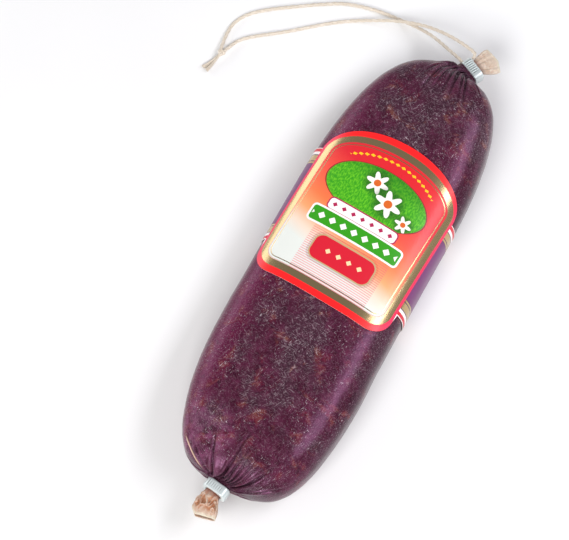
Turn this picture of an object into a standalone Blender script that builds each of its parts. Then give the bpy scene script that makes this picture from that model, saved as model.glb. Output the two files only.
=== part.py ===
"""A pressed, dry-cured sausage in a natural casing, lying flat.

Metres, +Z up. The sausage's long axis is Y and its broad, flattened faces look up and down.
The origin is at the middle of its underside. Its near end is at -Y. The far end, at +Y,
carries a loop of twine that was closed into the clip there.
"""

import math
from collections.abc import Callable
from dataclasses import dataclass

import bmesh
import bpy
import numpy as np
from mathutils import Vector, noise

MM = 0.001
GAP = 0.3 * MM  # left between pieces that touch

# The filled casing. Its section is a squashed superellipse, cut flat where it lies on the table.
BODY_HALF_WIDTH = 34.3 * MM
BODY_HALF_DEPTH = 15.9 * MM
BODY_CENTRE_Z = 15.1 * MM
SECTION_POWER = 2.7
SECTORS = 64
BARREL_RINGS = 6
MIDDLE_X = 2.0 * MM  # puts the box of the sausage with its tails about the origin
BOW = 2.2 * MM  # sideways, at mid length
LUMP_HEIGHT = 0.45 * MM
LUMP_PITCH = 30.0 * MM
LUMP_FADE = 8.0 * MM  # the lumps die out over this length at each end

# Each pleat is a crease with a soft ridge on both sides. Widths are shares of the girth.
PLEAT_WIDTHS = (0.011, 0.017)
PLEAT_RIDGE = 0.45  # of the crease's depth
RIDGE_PLACE = 2.2  # crease widths to the side

# The neck inside each clip, and the cut end of the casing beyond it
NECK_HALF_WIDTH = 3.6 * MM
NECK_HALF_DEPTH = 2.0 * MM
CAP_RINGS = 18
NECK_RINGS = 3
TAIL_RINGS = 6
TAIL_WALL = 0.7 * MM
TAIL_FOLDS = 5
TAIL_FOLD_HEIGHT = 0.22 * MM
TAIL_HOLLOW = ((0.0, 1.0), (0.6, 1.35), (1.0, 2.1))  # shares of the dish, and of the wall drawn in

# The clips: aluminium strip squeezed round the neck
CLIP_HALF_LENGTH = 5.4 * MM
CLIP_HALF_HEIGHT = 3.4 * MM
CLIP_WIDTH = 4.4 * MM
CLIP_CORNER = 2.3 * MM
CLIP_BEVEL = 0.35 * MM
CLIP_RIBS = 7
CLIP_RIB_PITCH = 0.85 * MM
CLIP_RIB_DEPTH = 0.16 * MM
CLIP_RIB_SHAPE = ((0.45, 1), (0.22, 0), (-0.22, 0), (-0.45, 1))  # of the pitch, and how far sunk
CORNER_STEPS = 8

# The paper label: a band right round the sausage, and a panel with an arched top on the upper face
LABEL_THICKNESS = 0.35 * MM
LABEL_GAP = 0.45 * MM  # to the casing's curve, which leaves about GAP between the facets
BAND_NEAR = -6.3 * MM
BAND_FAR = 41.1 * MM
PANEL_NEAR = -20.2 * MM
PANEL_HALF_ARC = 33.2 * MM
PANEL_CORNER = 10.0 * MM
PANEL_STEP = 0.5 * MM  # across, where the panel's side meets the band
PANEL_SHIFT = -1.2 * MM
ARCH_RISE = 17.8 * MM
LABEL_SKEW = math.tan(math.radians(5.2))  # the band sits askew, lower on the right
LABEL_LEAN = math.tan(math.radians(3.0))
PANEL_COLUMNS = 22
BAND_COLUMNS = 36
LABEL_ROWS = 7
LABEL_CLEARANCE = 14.0 * MM  # over which the casing's lumps fade out towards the label
LIFT_REACH = 18.0 * MM  # the underside lifts this far out from the band, over the ease
LIFT_EASE = 5.0 * MM

# The twine: both strands leave the far clip and end in one knot
TWINE_RADIUS = 0.75 * MM
TWINE_STEP = 3.4 * MM
KNOT_SIDES = 14
KNOT_RINGS = 8


@dataclass
class End:
    """One end of the sausage: how it closes, its clip, its tail and its pleats."""

    side: int  # -1 near, +1 far
    body_end: float
    cap_length: float
    cap_power: float
    depth_length: float
    funnel: float
    lean: float
    neck_showing: float
    neck_x: float
    clip_yaw: float
    tail_yaw: float
    tail_length: float
    tail_half_width: float
    tail_half_depth: float
    tail_cut: Callable
    dish: float
    pleats: int
    pleat_reach: float
    pleat_depth: float
    seed: int

    def heading(self, yaw):
        """Unit vector out along the neck, turned from the sausage's axis."""
        return np.array([self.side * math.sin(yaw), self.side * math.cos(yaw), 0.0])

    def neck_start(self):
        return np.array([self.neck_x, self.side * (self.body_end + self.funnel), BODY_CENTRE_Z])

    def clip_centre(self):
        return self.neck_start() + self.heading(self.clip_yaw) * (self.neck_showing + CLIP_WIDTH / 2)


def near_cut(across):
    """How far the near tail's cut falls short, for a place across it from -1 to 1."""
    return 3.0 * MM * max(0.0, (-across - 0.6) / 0.4)


def far_cut(across):
    """The far tail was cut twice: at a slant over its left part, straighter over its right."""
    return 2.1 * MM * max(0.0, (0.2 - across) / 1.2) + 0.9 * MM * max(0.0, (across - 0.2) / 0.8)


NEAR = End(side=-1, body_end=105.0 * MM, cap_length=60 * MM, cap_power=3.8, depth_length=40 * MM,
           funnel=0.0, lean=1.5 * MM, neck_showing=0.7 * MM, neck_x=0.15 * MM,
           clip_yaw=math.radians(10), tail_yaw=math.radians(-5),
           tail_length=11.2 * MM, tail_half_width=5.5 * MM, tail_half_depth=3.4 * MM,
           tail_cut=near_cut, dish=2.6 * MM,
           pleats=13, pleat_reach=24 * MM, pleat_depth=0.9 * MM, seed=3)
FAR = End(side=1, body_end=103.5 * MM, cap_length=66 * MM, cap_power=3.1, depth_length=46 * MM,
          funnel=2.7 * MM, lean=-3.5 * MM, neck_showing=1.6 * MM, neck_x=5.6 * MM,
          clip_yaw=math.radians(28), tail_yaw=math.radians(41),
          tail_length=9.6 * MM, tail_half_width=6.0 * MM, tail_half_depth=1.5 * MM,
          tail_cut=far_cut, dish=0.5 * MM,
          pleats=17, pleat_reach=20 * MM, pleat_depth=0.8 * MM, seed=8)


def smooth(x):
    """Eases from 0 to 1 as x goes from 0 to 1."""
    x = np.clip(x, 0.0, 1.0)
    return x * x * (3 - 2 * x)


def unit_section(angle):
    """The superellipse that fills the square from -1 to 1, at an angle from +X towards +Z."""
    c, s = np.cos(angle), np.sin(angle)
    return (np.sign(c) * np.abs(c) ** (2 / SECTION_POWER),
            np.sign(s) * np.abs(s) ** (2 / SECTION_POWER))


def section_table(half_width, half_depth, samples=1440):
    """Angles round the section, and the length walked along its outline to reach each."""
    angles = np.linspace(0, 2 * math.pi, samples + 1)
    x, z = unit_section(angles)
    steps = np.hypot(np.diff(x) * half_width, np.diff(z) * half_depth)
    return angles, np.concatenate([[0.0], np.cumsum(steps)])


def even_section(count):
    """Points of the unit section that lie evenly round the sausage's girth."""
    angles, walked = section_table(BODY_HALF_WIDTH, BODY_HALF_DEPTH)
    return unit_section(np.interp(np.arange(count) / count * walked[-1], walked, angles))


def cap_size(end, from_end):
    """Half width and half depth where the body has this length left to its end."""
    wide = 1 - (1 - np.clip(from_end / end.cap_length, 0, 1)) ** 2
    deep = 1 - (1 - np.clip(from_end / end.depth_length, 0, 1)) ** 2
    return (NECK_HALF_WIDTH + (BODY_HALF_WIDTH - NECK_HALF_WIDTH) * wide ** (1 / end.cap_power),
            NECK_HALF_DEPTH + (BODY_HALF_DEPTH - NECK_HALF_DEPTH) * deep ** (1 / end.cap_power))


def body_size(y):
    """Half width and half depth of the body at y."""
    end = FAR if y > 0 else NEAR
    return cap_size(end, end.body_end - abs(y))


def bow(y):
    """The body's middle at y. It bows to the left."""
    return MIDDLE_X - BOW * (1 - (y / FAR.body_end) ** 2)


def along_label(points):
    """Place along the label, which sits askew, for points on the sausage."""
    return points[..., 1] + points[..., 0] * LABEL_SKEW


def floor_under(points):
    """The body's underside: on the table, and lifted where the band runs beneath it."""
    place = along_label(points)
    inside = np.minimum(place - BAND_NEAR, BAND_FAR - place) + LIFT_REACH
    return (LABEL_THICKNESS + LABEL_GAP) * smooth(inside / LIFT_EASE)


class Ring:
    """One closed section of the casing."""

    def __init__(self, centre, yaw, half_width, half_depth, setback=None):
        self.centre = np.array(centre, float)
        self.yaw = yaw
        self.half_width = half_width
        self.half_depth = half_depth
        self.setback = setback

    def points(self, section, side):
        """The section's points, with the cut's setback drawn in along the neck."""
        across, up = section
        out = np.zeros(len(across))
        if self.setback is not None:
            out = -np.array([self.setback(x) for x in across])
        right = np.array([math.cos(self.yaw), -math.sin(self.yaw), 0.0])
        ahead = side * np.array([math.sin(self.yaw), math.cos(self.yaw), 0.0])
        return (self.centre + np.outer(across * self.half_width, right)
                + np.outer(out, ahead) + np.outer(up * self.half_depth, [0, 0, 1]))


def cap_rings(end):
    """From the barrel to the neck: a blunt end that draws in to the clip."""
    rings = []
    for step in range(CAP_RINGS):
        turn = math.pi / 2 * ((CAP_RINGS - 1 - step) / (CAP_RINGS - 1)) ** 2
        from_end = end.cap_length * (1 - math.cos(turn))
        wide, deep = cap_size(end, from_end)
        closed = (BODY_HALF_WIDTH - wide) / (BODY_HALF_WIDTH - NECK_HALF_WIDTH)
        y = end.side * (end.body_end - from_end)
        centre = (bow(y) + end.lean * closed * (1 - closed ** 3) + (end.neck_x - MIDDLE_X) * closed ** 4,
                  y + end.side * end.funnel * closed ** 4, BODY_CENTRE_Z)
        rings.append(Ring(centre, end.clip_yaw * closed ** 5, wide, deep))
    return rings


def tail_rings(end):
    """Through the clip, then flaring to the cut, and a little way back inside it."""
    neck_length = end.neck_showing + CLIP_WIDTH + GAP
    rings = []
    for step in range(1, NECK_RINGS + 1):
        place = end.neck_start() + end.heading(end.clip_yaw) * neck_length * step / NECK_RINGS
        rings.append(Ring(place, end.clip_yaw, NECK_HALF_WIDTH, NECK_HALF_DEPTH))
    for step in range(1, TAIL_RINGS + 1):
        part = step / TAIL_RINGS
        yaw = end.clip_yaw + (end.tail_yaw - end.clip_yaw) * float(smooth(part * 1.6))
        place = place + end.heading(yaw) * (end.tail_length / TAIL_RINGS)
        flare = float(smooth(part * 1.15)) ** 0.8
        wide = NECK_HALF_WIDTH + (end.tail_half_width - NECK_HALF_WIDTH) * flare
        deep = NECK_HALF_DEPTH + (end.tail_half_depth - NECK_HALF_DEPTH) * flare
        rings.append(Ring(place, yaw, wide, deep,
                          lambda x, part=part: end.tail_cut(x) * part ** 2))
    for inwards, shrink in TAIL_HOLLOW:
        rings.append(Ring(place - end.heading(end.tail_yaw) * end.dish * inwards, end.tail_yaw,
                          max(end.tail_half_width - TAIL_WALL * shrink, 0.4 * MM),
                          max(end.tail_half_depth - TAIL_WALL * shrink, 0.25 * MM),
                          end.tail_cut))
    return rings


def pleat_relief(end, rings, fractions):
    """Heights over the smooth cap: creases drawn to the neck, with soft ridges between."""
    draw = np.random.default_rng(end.seed)
    height = np.zeros((len(rings), len(fractions)))
    walked = [0.0]
    for before, after in zip(rings[::-1], rings[-2::-1]):
        walked.append(walked[-1] + math.hypot(after.half_width - before.half_width,
                                              after.centre[1] - before.centre[1]))
    from_neck = np.array(walked[::-1])
    for pleat in range(end.pleats):
        place = (pleat + draw.uniform(-0.3, 0.3)) / end.pleats
        reach = end.pleat_reach * draw.uniform(0.6, 1.5)
        depth = end.pleat_depth * draw.uniform(0.5, 1.2)
        width = draw.uniform(*PLEAT_WIDTHS)
        beside = ((fractions - place + 0.5) % 1.0 - 0.5) / width
        crease = np.exp(-beside ** 2) - PLEAT_RIDGE * np.exp(-(np.abs(beside) - RIDGE_PLACE) ** 2)
        along = np.clip(from_neck / reach, 0, 1)
        strength = np.sin(math.pi * along ** 0.55) * (1 - along) ** 0.4
        height -= depth * np.outer(strength, crease)
    return height


def lump_relief(points):
    """The uneven filling under the casing, smoothed out under the label and towards the ends."""
    clear_near = smooth((PANEL_NEAR - MM - along_label(points)) / LABEL_CLEARANCE)
    clear_far = smooth((along_label(points) - BAND_FAR - ARCH_RISE - MM) / LABEL_CLEARANCE)
    short_of_clip = smooth((FAR.body_end - np.abs(points[..., 1])) / LUMP_FADE - 0.4)
    height = np.zeros(points.shape[:2])
    for i, j in np.ndindex(height.shape):
        height[i, j] = noise.noise(Vector(points[i, j]) / LUMP_PITCH)
    return LUMP_HEIGHT * height * (clear_near + clear_far) * short_of_clip


def tail_relief(rings, fractions, end):
    """Folds that run out along the cut end of the casing."""
    height = np.zeros((len(rings), len(fractions)))
    uneven = 0.13 * np.sin(4 * math.pi * fractions)
    wave = np.sin(2 * math.pi * (TAIL_FOLDS * fractions + uneven + end.seed))
    for step in range(1, TAIL_RINGS + 1):
        height[NECK_RINGS - 1 + step] = TAIL_FOLD_HEIGHT * smooth(2 * step / TAIL_RINGS) * wave
    return height


def outward_normals(points):
    """Unit normals of a grid whose rows run along +Y and whose columns go round from +X to +Z."""
    along = np.gradient(points, axis=0)
    around = np.roll(points, -1, axis=1) - np.roll(points, 1, axis=1)
    normals = np.cross(along, around)
    return normals / np.maximum(np.linalg.norm(normals, axis=2, keepdims=True), 1e-12)


def casing_grid():
    """Every point of the casing: a row for each ring, from the near tail's inside to the far one's."""
    section = even_section(SECTORS)
    fractions = np.arange(SECTORS) / SECTORS
    rows, reliefs = [], []
    for end in (NEAR, FAR):
        cap = cap_rings(end)
        tail = tail_rings(end)
        points = np.array([ring.points(section, end.side) for ring in cap + tail])
        relief = np.concatenate([pleat_relief(end, cap, fractions), tail_relief(tail, fractions, end)])
        order = slice(None) if end.side > 0 else slice(None, None, -1)
        rows.append(points[order])
        reliefs.append(relief[order])
    start = -(NEAR.body_end - NEAR.cap_length)
    stop = FAR.body_end - FAR.cap_length
    barrel = []
    for y in np.linspace(start, stop, BARREL_RINGS + 2)[1:-1]:
        barrel.append(Ring((bow(y), y, BODY_CENTRE_Z), 0.0, *body_size(y)).points(section, 1))
    rows.insert(1, np.array(barrel))
    reliefs.insert(1, np.zeros((BARREL_RINGS, SECTORS)))
    points = np.concatenate(rows)
    relief = np.concatenate(reliefs) + lump_relief(points)
    points = points + outward_normals(points) * relief[..., None]
    points[..., 2] = np.maximum(points[..., 2], floor_under(points))
    return points


def grid_faces(rows, columns):
    """Quads of a grid that closes on itself round its columns."""
    faces = []
    for i in range(rows - 1):
        for j in range(columns):
            k = (j + 1) % columns
            faces.append((i * columns + j, (i + 1) * columns + j, (i + 1) * columns + k, i * columns + k))
    return faces


def material(name, colour, roughness, metallic=0.0):
    """A plain finish. The colour is linear."""
    made = bpy.data.materials.new(name)
    made.use_nodes = True
    shader = made.node_tree.nodes["Principled BSDF"]
    shader.inputs["Base Color"].default_value = (*colour, 1.0)
    shader.inputs["Roughness"].default_value = roughness
    shader.inputs["Metallic"].default_value = metallic
    made.diffuse_color = (*colour, 1.0)
    return made


def add_object(name, data, its_material, sharp_from=None):
    """Links an object to the scene. A mesh is shaded smooth, sharp over the angle given."""
    placed = bpy.data.objects.new(name, data)
    bpy.context.scene.collection.objects.link(placed)
    data.materials.append(its_material)
    if sharp_from is not None:
        data.shade_smooth()
        data.set_sharp_from_angle(angle=math.radians(sharp_from))
    return placed


def mesh_from(name, points, faces):
    """A mesh of these points and faces, with its large end faces cut into triangles."""
    mesh = bpy.data.meshes.new(name)
    mesh.from_pydata([tuple(p) for p in points], [], faces)
    shape = bmesh.new()
    shape.from_mesh(mesh)
    bmesh.ops.triangulate(shape, faces=[f for f in shape.faces if len(f.verts) > 4])
    shape.to_mesh(mesh)
    shape.free()
    return mesh


def make_sausage():
    """The filled casing with both necks and tails, as one closed body."""
    points = casing_grid()
    rows, columns = points.shape[:2]
    faces = grid_faces(rows, columns)
    faces.append(tuple(range(columns)))
    faces.append(tuple(reversed(range((rows - 1) * columns, rows * columns))))
    mesh = mesh_from("sausage", points.reshape(-1, 3), faces)
    casing = material("casing", (0.105, 0.038, 0.058), 0.38)
    return add_object("sausage", mesh, casing, sharp_from=60)


def label_columns():
    """Places round the girth, from the panel's middle, where the label has a column."""
    angles = np.linspace(-math.pi / 2, math.pi / 2, PANEL_COLUMNS + 1)
    panel = PANEL_HALF_ARC * np.sin(angles)
    girth = section_table(BODY_HALF_WIDTH, BODY_HALF_DEPTH)[1][-1]
    side = PANEL_HALF_ARC + PANEL_STEP
    rest = np.linspace(side, girth - side, BAND_COLUMNS)
    return np.concatenate([panel, rest])


def label_reach(arc):
    """The label's near and far edge at a place round the girth."""
    if abs(arc) > PANEL_HALF_ARC:
        return BAND_NEAR, BAND_FAR
    into_corner = max(0.0, abs(arc) - (PANEL_HALF_ARC - PANEL_CORNER))
    near = PANEL_NEAR + PANEL_CORNER - math.sqrt(max(0.0, PANEL_CORNER ** 2 - into_corner ** 2))
    far = BAND_FAR + ARCH_RISE * math.sqrt(max(0.0, 1 - (arc / PANEL_HALF_ARC) ** 2))
    return near, far


def label_point(arc, along, lift):
    """A point this far off the casing, at a place round and along the label."""
    turned = arc + PANEL_SHIFT + (along - PANEL_NEAR) * LABEL_LEAN
    y = along
    for _ in range(3):
        wide, deep = body_size(y)
        angles, walked = section_table(wide, deep, 360)
        top = walked[len(walked) // 4]
        across, up = unit_section(np.interp((top - turned) % walked[-1], walked, angles))
        x = bow(y) + across * (wide + lift)
        y = along - x * LABEL_SKEW
    return x, y, max(BODY_CENTRE_Z + up * (deep + lift), LABEL_GAP + LABEL_THICKNESS - lift)


def make_label():
    """A thin sheet that closes round the sausage, between its own near and far edge."""
    arcs = label_columns()
    columns = len(arcs)
    rows = LABEL_ROWS + 1
    count = rows * columns
    points = []
    for lift in (LABEL_GAP, LABEL_GAP + LABEL_THICKNESS):
        for row in range(rows):
            for arc in arcs:
                near, far = label_reach(arc)
                points.append(label_point(arc, near + (far - near) * row / LABEL_ROWS, lift))
    faces = grid_faces(rows, columns)
    faces += [tuple(v + count for v in quad[::-1]) for quad in faces]
    last = count - columns
    for j in range(columns):
        k = (j + 1) % columns
        faces.append((j, k, count + k, count + j))
        faces.append((last + k, last + j, count + last + j, count + last + k))
    mesh = mesh_from("label", points, faces)
    paper = material("label_print", (0.78, 0.05, 0.05), 0.35)
    return add_object("label", mesh, paper, sharp_from=40)


def clip_outline(half_length, half_height, corner, ribs):
    """The clip seen along the neck: a rounded box, with fine ribs over the middle of its top."""
    outline = []
    flat, wall = half_length - corner, half_height - corner
    for quarter, (x, z) in enumerate(((flat, wall), (-flat, wall), (-flat, -wall), (flat, -wall))):
        for step in range(CORNER_STEPS + 1):
            angle = math.pi / 2 * (quarter + step / CORNER_STEPS)
            outline.append((x + corner * math.cos(angle), z + corner * math.sin(angle)))
        if quarter == 0 and ribs:
            for rib in range(ribs):
                middle = ((ribs - 1) / 2 - rib) * CLIP_RIB_PITCH
                for offset, sunk in CLIP_RIB_SHAPE:
                    outline.append((middle + offset * CLIP_RIB_PITCH, half_height - sunk * CLIP_RIB_DEPTH))
        else:
            for part in (0.6, 0.2, -0.2, -0.6):
                along = (x * part, z + math.copysign(corner, z))
                down = (x + math.copysign(corner, x), z * part)
                outline.append(down if quarter % 2 else along)
    return outline


def make_clip(name, end):
    """A tube with the clip's outline outside and the neck's shape inside, its outer edges eased."""
    ribs = CLIP_RIBS if end is FAR else 0
    outline = clip_outline(CLIP_HALF_LENGTH, CLIP_HALF_HEIGHT, CLIP_CORNER, ribs)
    sides = len(outline)
    shrink = 1 - CLIP_BEVEL / CLIP_HALF_HEIGHT
    hole = []
    for x, z in outline:
        across, up = unit_section(math.atan2(z / CLIP_HALF_HEIGHT, x / CLIP_HALF_LENGTH))
        hole.append((across * (NECK_HALF_WIDTH + GAP), up * (NECK_HALF_DEPTH + GAP)))
    loops = []
    half = CLIP_WIDTH / 2
    for profile, scale, y in ((hole, 1, -half), (outline, shrink, -half), (outline, 1, -half + CLIP_BEVEL),
                              (outline, 1, half - CLIP_BEVEL), (outline, shrink, half), (hole, 1, half)):
        loops.append([(x * scale, y, z * scale) for x, z in profile])
    points = np.array(loops).reshape(-1, 3)
    faces = grid_faces(len(loops), sides)
    last = (len(loops) - 1) * sides
    for j in range(sides):
        k = (j + 1) % sides
        faces.append((last + j, j, k, last + k))
    clip = add_object(name, mesh_from(name, points, faces),
                      material(name, (0.62, 0.66, 0.65), 0.32, 1.0), sharp_from=35)
    clip.location = end.clip_centre()
    clip.rotation_euler = (0, 0, -end.clip_yaw)
    return clip


def smooth_route(route, step):
    """Points at even steps along a smooth curve through the route's own points."""
    knots = [Vector(p) * MM for p in route]
    fine = []
    for i in range(len(knots) - 1):
        a, b = knots[max(i - 1, 0)], knots[i]
        c, d = knots[i + 1], knots[min(i + 2, len(knots) - 1)]
        for part in np.linspace(0, 1, 24, endpoint=False):
            t = float(part)
            fine.append(0.5 * ((2 * b) + (c - a) * t + (2 * a - 5 * b + 4 * c - d) * t ** 2
                               + (3 * b - a - 3 * c + d) * t ** 3))
    fine.append(knots[-1])
    fine = np.array(fine)
    walked = np.concatenate([[0], np.cumsum(np.linalg.norm(np.diff(fine, axis=0), axis=1))])
    count = max(2, round(walked[-1] / step))
    even = np.linspace(0, walked[-1], count + 1)
    return np.stack([np.interp(even, walked, fine[:, k]) for k in range(3)], axis=1)


# Each strand's route in millimetres, from the far clip to the knot. B passes over A once.
STRAND_A = ((1.8, 111.2, 15.1), (-0.6, 112.4, 15.0), (-7.2, 115.4, 12.6), (-16.0, 119.7, 8.4),
            (-24.5, 122.4, 4.3), (-34.8, 123.8, 1.3), (-46.3, 123.2, 0.8), (-58.0, 120.4, 0.8),
            (-67.0, 115.7, 0.8), (-76.4, 109.7, 0.8), (-87.0, 102.5, 0.8), (-93.8, 96.4, 0.8),
            (-97.2, 90.3, 0.8), (-97.8, 84.3, 0.9), (-96.5, 76.3, 1.8))
STRAND_B = ((4.9, 114.2, 16.5), (5.4, 115.3, 16.8), (3.8, 117.4, 16.5), (-5.6, 120.7, 13.2),
            (-15.0, 122.7, 9.8), (-24.0, 123.1, 6.8), (-35.0, 121.2, 4.0), (-49.8, 115.4, 1.1),
            (-59.0, 109.7, 0.8), (-68.6, 102.0, 0.8), (-76.4, 95.6, 0.8), (-86.4, 88.2, 0.8),
            (-91.6, 83.1, 0.9), (-94.3, 76.2, 1.8))
KNOT_CENTRE = (-95.4, 74.0, 1.9)
KNOT_HALF_SIZE = (2.3, 2.1, 1.75)
KNOT_TAIL = ((-95.9, 72.4, 1.6), (-96.7, 69.4, 1.1), (-97.6, 66.6, 0.95), (-98.7, 64.1, 0.95))


def make_strand(name, route, twine):
    """One strand of the loop, a round tube along its route."""
    curve = bpy.data.curves.new(name, "CURVE")
    curve.dimensions = "3D"
    curve.bevel_depth = TWINE_RADIUS
    curve.bevel_resolution = 2
    curve.use_fill_caps = True
    points = smooth_route(route, TWINE_STEP)
    spline = curve.splines.new("POLY")
    spline.points.add(len(points) - 1)
    for point, place in zip(spline.points, points):
        point.co = (*place, 1.0)
    return add_object(name, curve, twine)


def make_knot(twine):
    """The knot and the two cut ends beyond it, lying together and fraying out."""
    rings = []
    centre = Vector(KNOT_CENTRE) * MM
    half = Vector(KNOT_HALF_SIZE) * MM
    tail = smooth_route(KNOT_TAIL, 1.6 * MM)
    away = Vector(tail[-1] - tail[0]).normalized()
    over = Vector((away.y, -away.x, 0)).normalized()
    up = Vector((0, 0, 1))
    for step in range(1, KNOT_RINGS):
        angle = math.pi * step / (KNOT_RINGS + 1)
        size = math.sin(angle) * (1 - 0.10 * math.cos(6 * angle))
        rings.append((centre - away * half.y * math.cos(angle), half.x * size, half.z * size))
    for step, place in enumerate(tail):
        part = step / (len(tail) - 1)
        if (Vector(place) - centre).dot(away) > half.y * 0.75:
            rings.append((Vector(place), (1.15 + 0.95 * part ** 2) * MM, (0.8 - 0.15 * part) * MM))
    points = []
    for middle, wide, deep in rings:
        for side in range(KNOT_SIDES):
            angle = 2 * math.pi * side / KNOT_SIDES
            points.append(middle + over * wide * math.cos(angle) + up * deep * math.sin(angle))
    count = len(points)
    faces = grid_faces(len(rings), KNOT_SIDES)
    faces.append(tuple(range(KNOT_SIDES)))
    faces.append(tuple(reversed(range(count - KNOT_SIDES, count))))
    return add_object("string_knot", mesh_from("string_knot", points, faces), twine, sharp_from=60)


def main():
    for old in list(bpy.data.objects):
        bpy.data.objects.remove(old, do_unlink=True)
    make_sausage()
    make_label()
    make_clip("clip_near", NEAR)
    make_clip("clip_far", FAR)
    twine = material("twine", (0.72, 0.64, 0.50), 0.85)
    make_strand("string_a", STRAND_A, twine)
    make_strand("string_b", STRAND_B, twine)
    make_knot(twine)


main()
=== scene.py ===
"""Builds the looks of a pressed, dry-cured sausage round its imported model, as an add-on run as a script.

Lengths are in metres, +Z up, and the sausage lies along Y. Each operator makes one piece or one group of like
pieces: the stage, the twine with its knot, the casing, its cut tails, the clips and the printed label.
"""

import math
from functools import partialmethod, reduce
from operator import mul, or_

import bpy
import numpy as np
from bpy.props import FloatProperty, FloatVectorProperty, IntProperty, PointerProperty
from mathutils import Matrix, Vector, noise


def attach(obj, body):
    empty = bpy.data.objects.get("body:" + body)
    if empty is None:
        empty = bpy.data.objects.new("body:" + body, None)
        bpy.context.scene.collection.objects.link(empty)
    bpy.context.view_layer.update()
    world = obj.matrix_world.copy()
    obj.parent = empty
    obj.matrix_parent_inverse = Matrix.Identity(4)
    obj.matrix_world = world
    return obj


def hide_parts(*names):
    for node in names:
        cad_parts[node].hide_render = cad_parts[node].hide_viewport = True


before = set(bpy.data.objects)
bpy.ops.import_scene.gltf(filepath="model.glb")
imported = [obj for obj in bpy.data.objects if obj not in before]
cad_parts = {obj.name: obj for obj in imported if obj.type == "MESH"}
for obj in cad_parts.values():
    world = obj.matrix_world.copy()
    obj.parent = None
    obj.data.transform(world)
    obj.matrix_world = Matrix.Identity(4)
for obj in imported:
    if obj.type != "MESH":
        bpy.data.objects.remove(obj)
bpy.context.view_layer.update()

bl_info = {
    "name": "Cured sausage",
    "version": (1, 0, 0),
    "blender": (4, 5, 0),
    "location": "View3D > Sidebar > Cured sausage",
    "description": "Builds a pressed dry-cured sausage with its label, clips and twine",
    "category": "Object",
}

MM = 0.001

# The filled casing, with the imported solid's section and bow. Its ends were fitted to the photograph's outline
# again, and differ from the solid's by up to 1.5 mm
BODY_HALF_WIDTH = 34.3 * MM
BODY_HALF_DEPTH = 15.9 * MM
BODY_CENTRE_Z = 15.1 * MM
SECTION_POWER = 2.7
MIDDLE_X = 2.0 * MM
BOW = 2.2 * MM
LUMP_HEIGHT = 0.45 * MM
LUMP_PITCH = 30.0 * MM
LUMP_FADE = 8.0 * MM
NECK_HALF_WIDTH = 3.6 * MM
NECK_HALF_DEPTH = 2.0 * MM
NECK_ROWS = (-0.03, 0.04, 0.45, 0.9)  # just outside the clip, then inside it, in widths of the clip
TAIL_START = (3.3 * MM, 1.75 * MM)  # half width and half depth of a tail inside its clip
FINE_PLEATS = 34
PLEAT_RISE = 3.0 * MM  # a pleat reaches its depth this far from the clip
PLEAT_GIRTH = 60.0 * MM  # and where the skin is this wide round
PLEAT_CROWDING = 50  # a pleat is never wider than the girth over this
NECK_SHADE_REACH = 14.0 * MM  # painted shade: the skin is darker this close to a clip
SECTORS = 376
CAP_RINGS = 110
BARREL_RINGS = 38

# The skin's looks, in millimetres. A change of colour has a place where it starts and one where it is full:
# aside of the middle for the flanks' painted light and shade, and away from the spot of a painted light patch
LEFT_PAINTED_LIGHT = (-17.0, -30.0)
RIGHT_PAINTED_SHADE = (26.5, 33.0)
PAINTED_LIGHT_SPOT = (-15.5, -92.0, 27.0)
PAINTED_LIGHT_REACH = (17.0, 7.0)
# Strokes and scratches: turn from the sausage's length in radians, length, width, and the noise between which
# they fade in. Real ones are about 0.1 mm wide: these are coarser, so that they show, and so are the specks
STROKES = ((0.6, 3.4, 0.30, 0.66, 0.80), (-0.8, 2.8, 0.28, 0.67, 0.80), (1.7, 3.0, 0.30, 0.68, 0.80))
SCRATCHES = ((0.3, 2.4, 0.26, 0.76, 0.82), (-1.1, 2.0, 0.26, 0.76, 0.82))
SPECK_PITCH = 2.2
RIPPLE_PITCH = 0.9  # ripples of the dried skin

# The clips
CLIP_HALF_LENGTH = 5.4 * MM
CLIP_HALF_HEIGHT = 3.4 * MM
CLIP_WIDTH = 4.4 * MM
CLIP_CORNER = 2.3 * MM
CLIP_GAP = 0.3 * MM
RIB_RADIUS = 0.31 * MM
RIB_SHIFT = -0.7 * MM  # the row of ribs lies a little left of the clip's middle
# Thin dark bars between the ribs are painted shade in the grooves: their radius and how far they show
GROOVE_RADIUS = 0.24 * MM
GROOVE_SHOWING = 0.10 * MM
NEAR_RIB_SHARE = 0.2  # the near clip's ribs are pressed less deep
CLIP_EDGE = 0.5 * MM  # radius of the strip's rolled edges
# The seam under a clip, in millimetres: place across and depth
CLIP_SEAM = ((-1.0, 0.0), (0.35, 0.0), (0.5, 0.45), (0.62, 0.45), (0.75, 0.0), (1.4, 0.0))
ROLLING_LINES = (0.6, 4.0, 4.0)  # their noise for each millimetre. Real ones are finer and wouldn't show

# The label: U runs across the panel from its middle, V along the sausage from the panel's near edge
LABEL_THICKNESS = 0.35 * MM
LABEL_GAP = 0.45 * MM
PAPER_GAP = 0.2 * MM
PAPER_THICKNESS = 0.14 * MM
BAND_NEAR = -6.3 * MM
BAND_FAR = 41.1 * MM
PANEL_NEAR = -20.2 * MM
PANEL_HALF_ARC = 33.2 * MM
PANEL_CORNER = 10.0 * MM
PANEL_STEP = 0.5 * MM
PANEL_SHIFT = -1.2 * MM
ARCH_RISE = 17.8 * MM
LABEL_SKEW = math.tan(math.radians(5.2))
LABEL_LEAN = math.tan(math.radians(3.0))
LABEL_CLEARANCE = 14.0 * MM
LIFT_REACH = 18.0 * MM
LIFT_EASE = 5.0 * MM
PANEL_COLUMNS = 120
BAND_COLUMNS = 100
LABEL_ROWS = 72
PANEL_INSET = (1.4 * MM, 3.1 * MM)  # from the panel's sides and ends to its gold frame
CURL = 0.14 * MM  # how far the label's edges lift
UV_MM = 100.0  # millimetres to one unit of the print's UV

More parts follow.
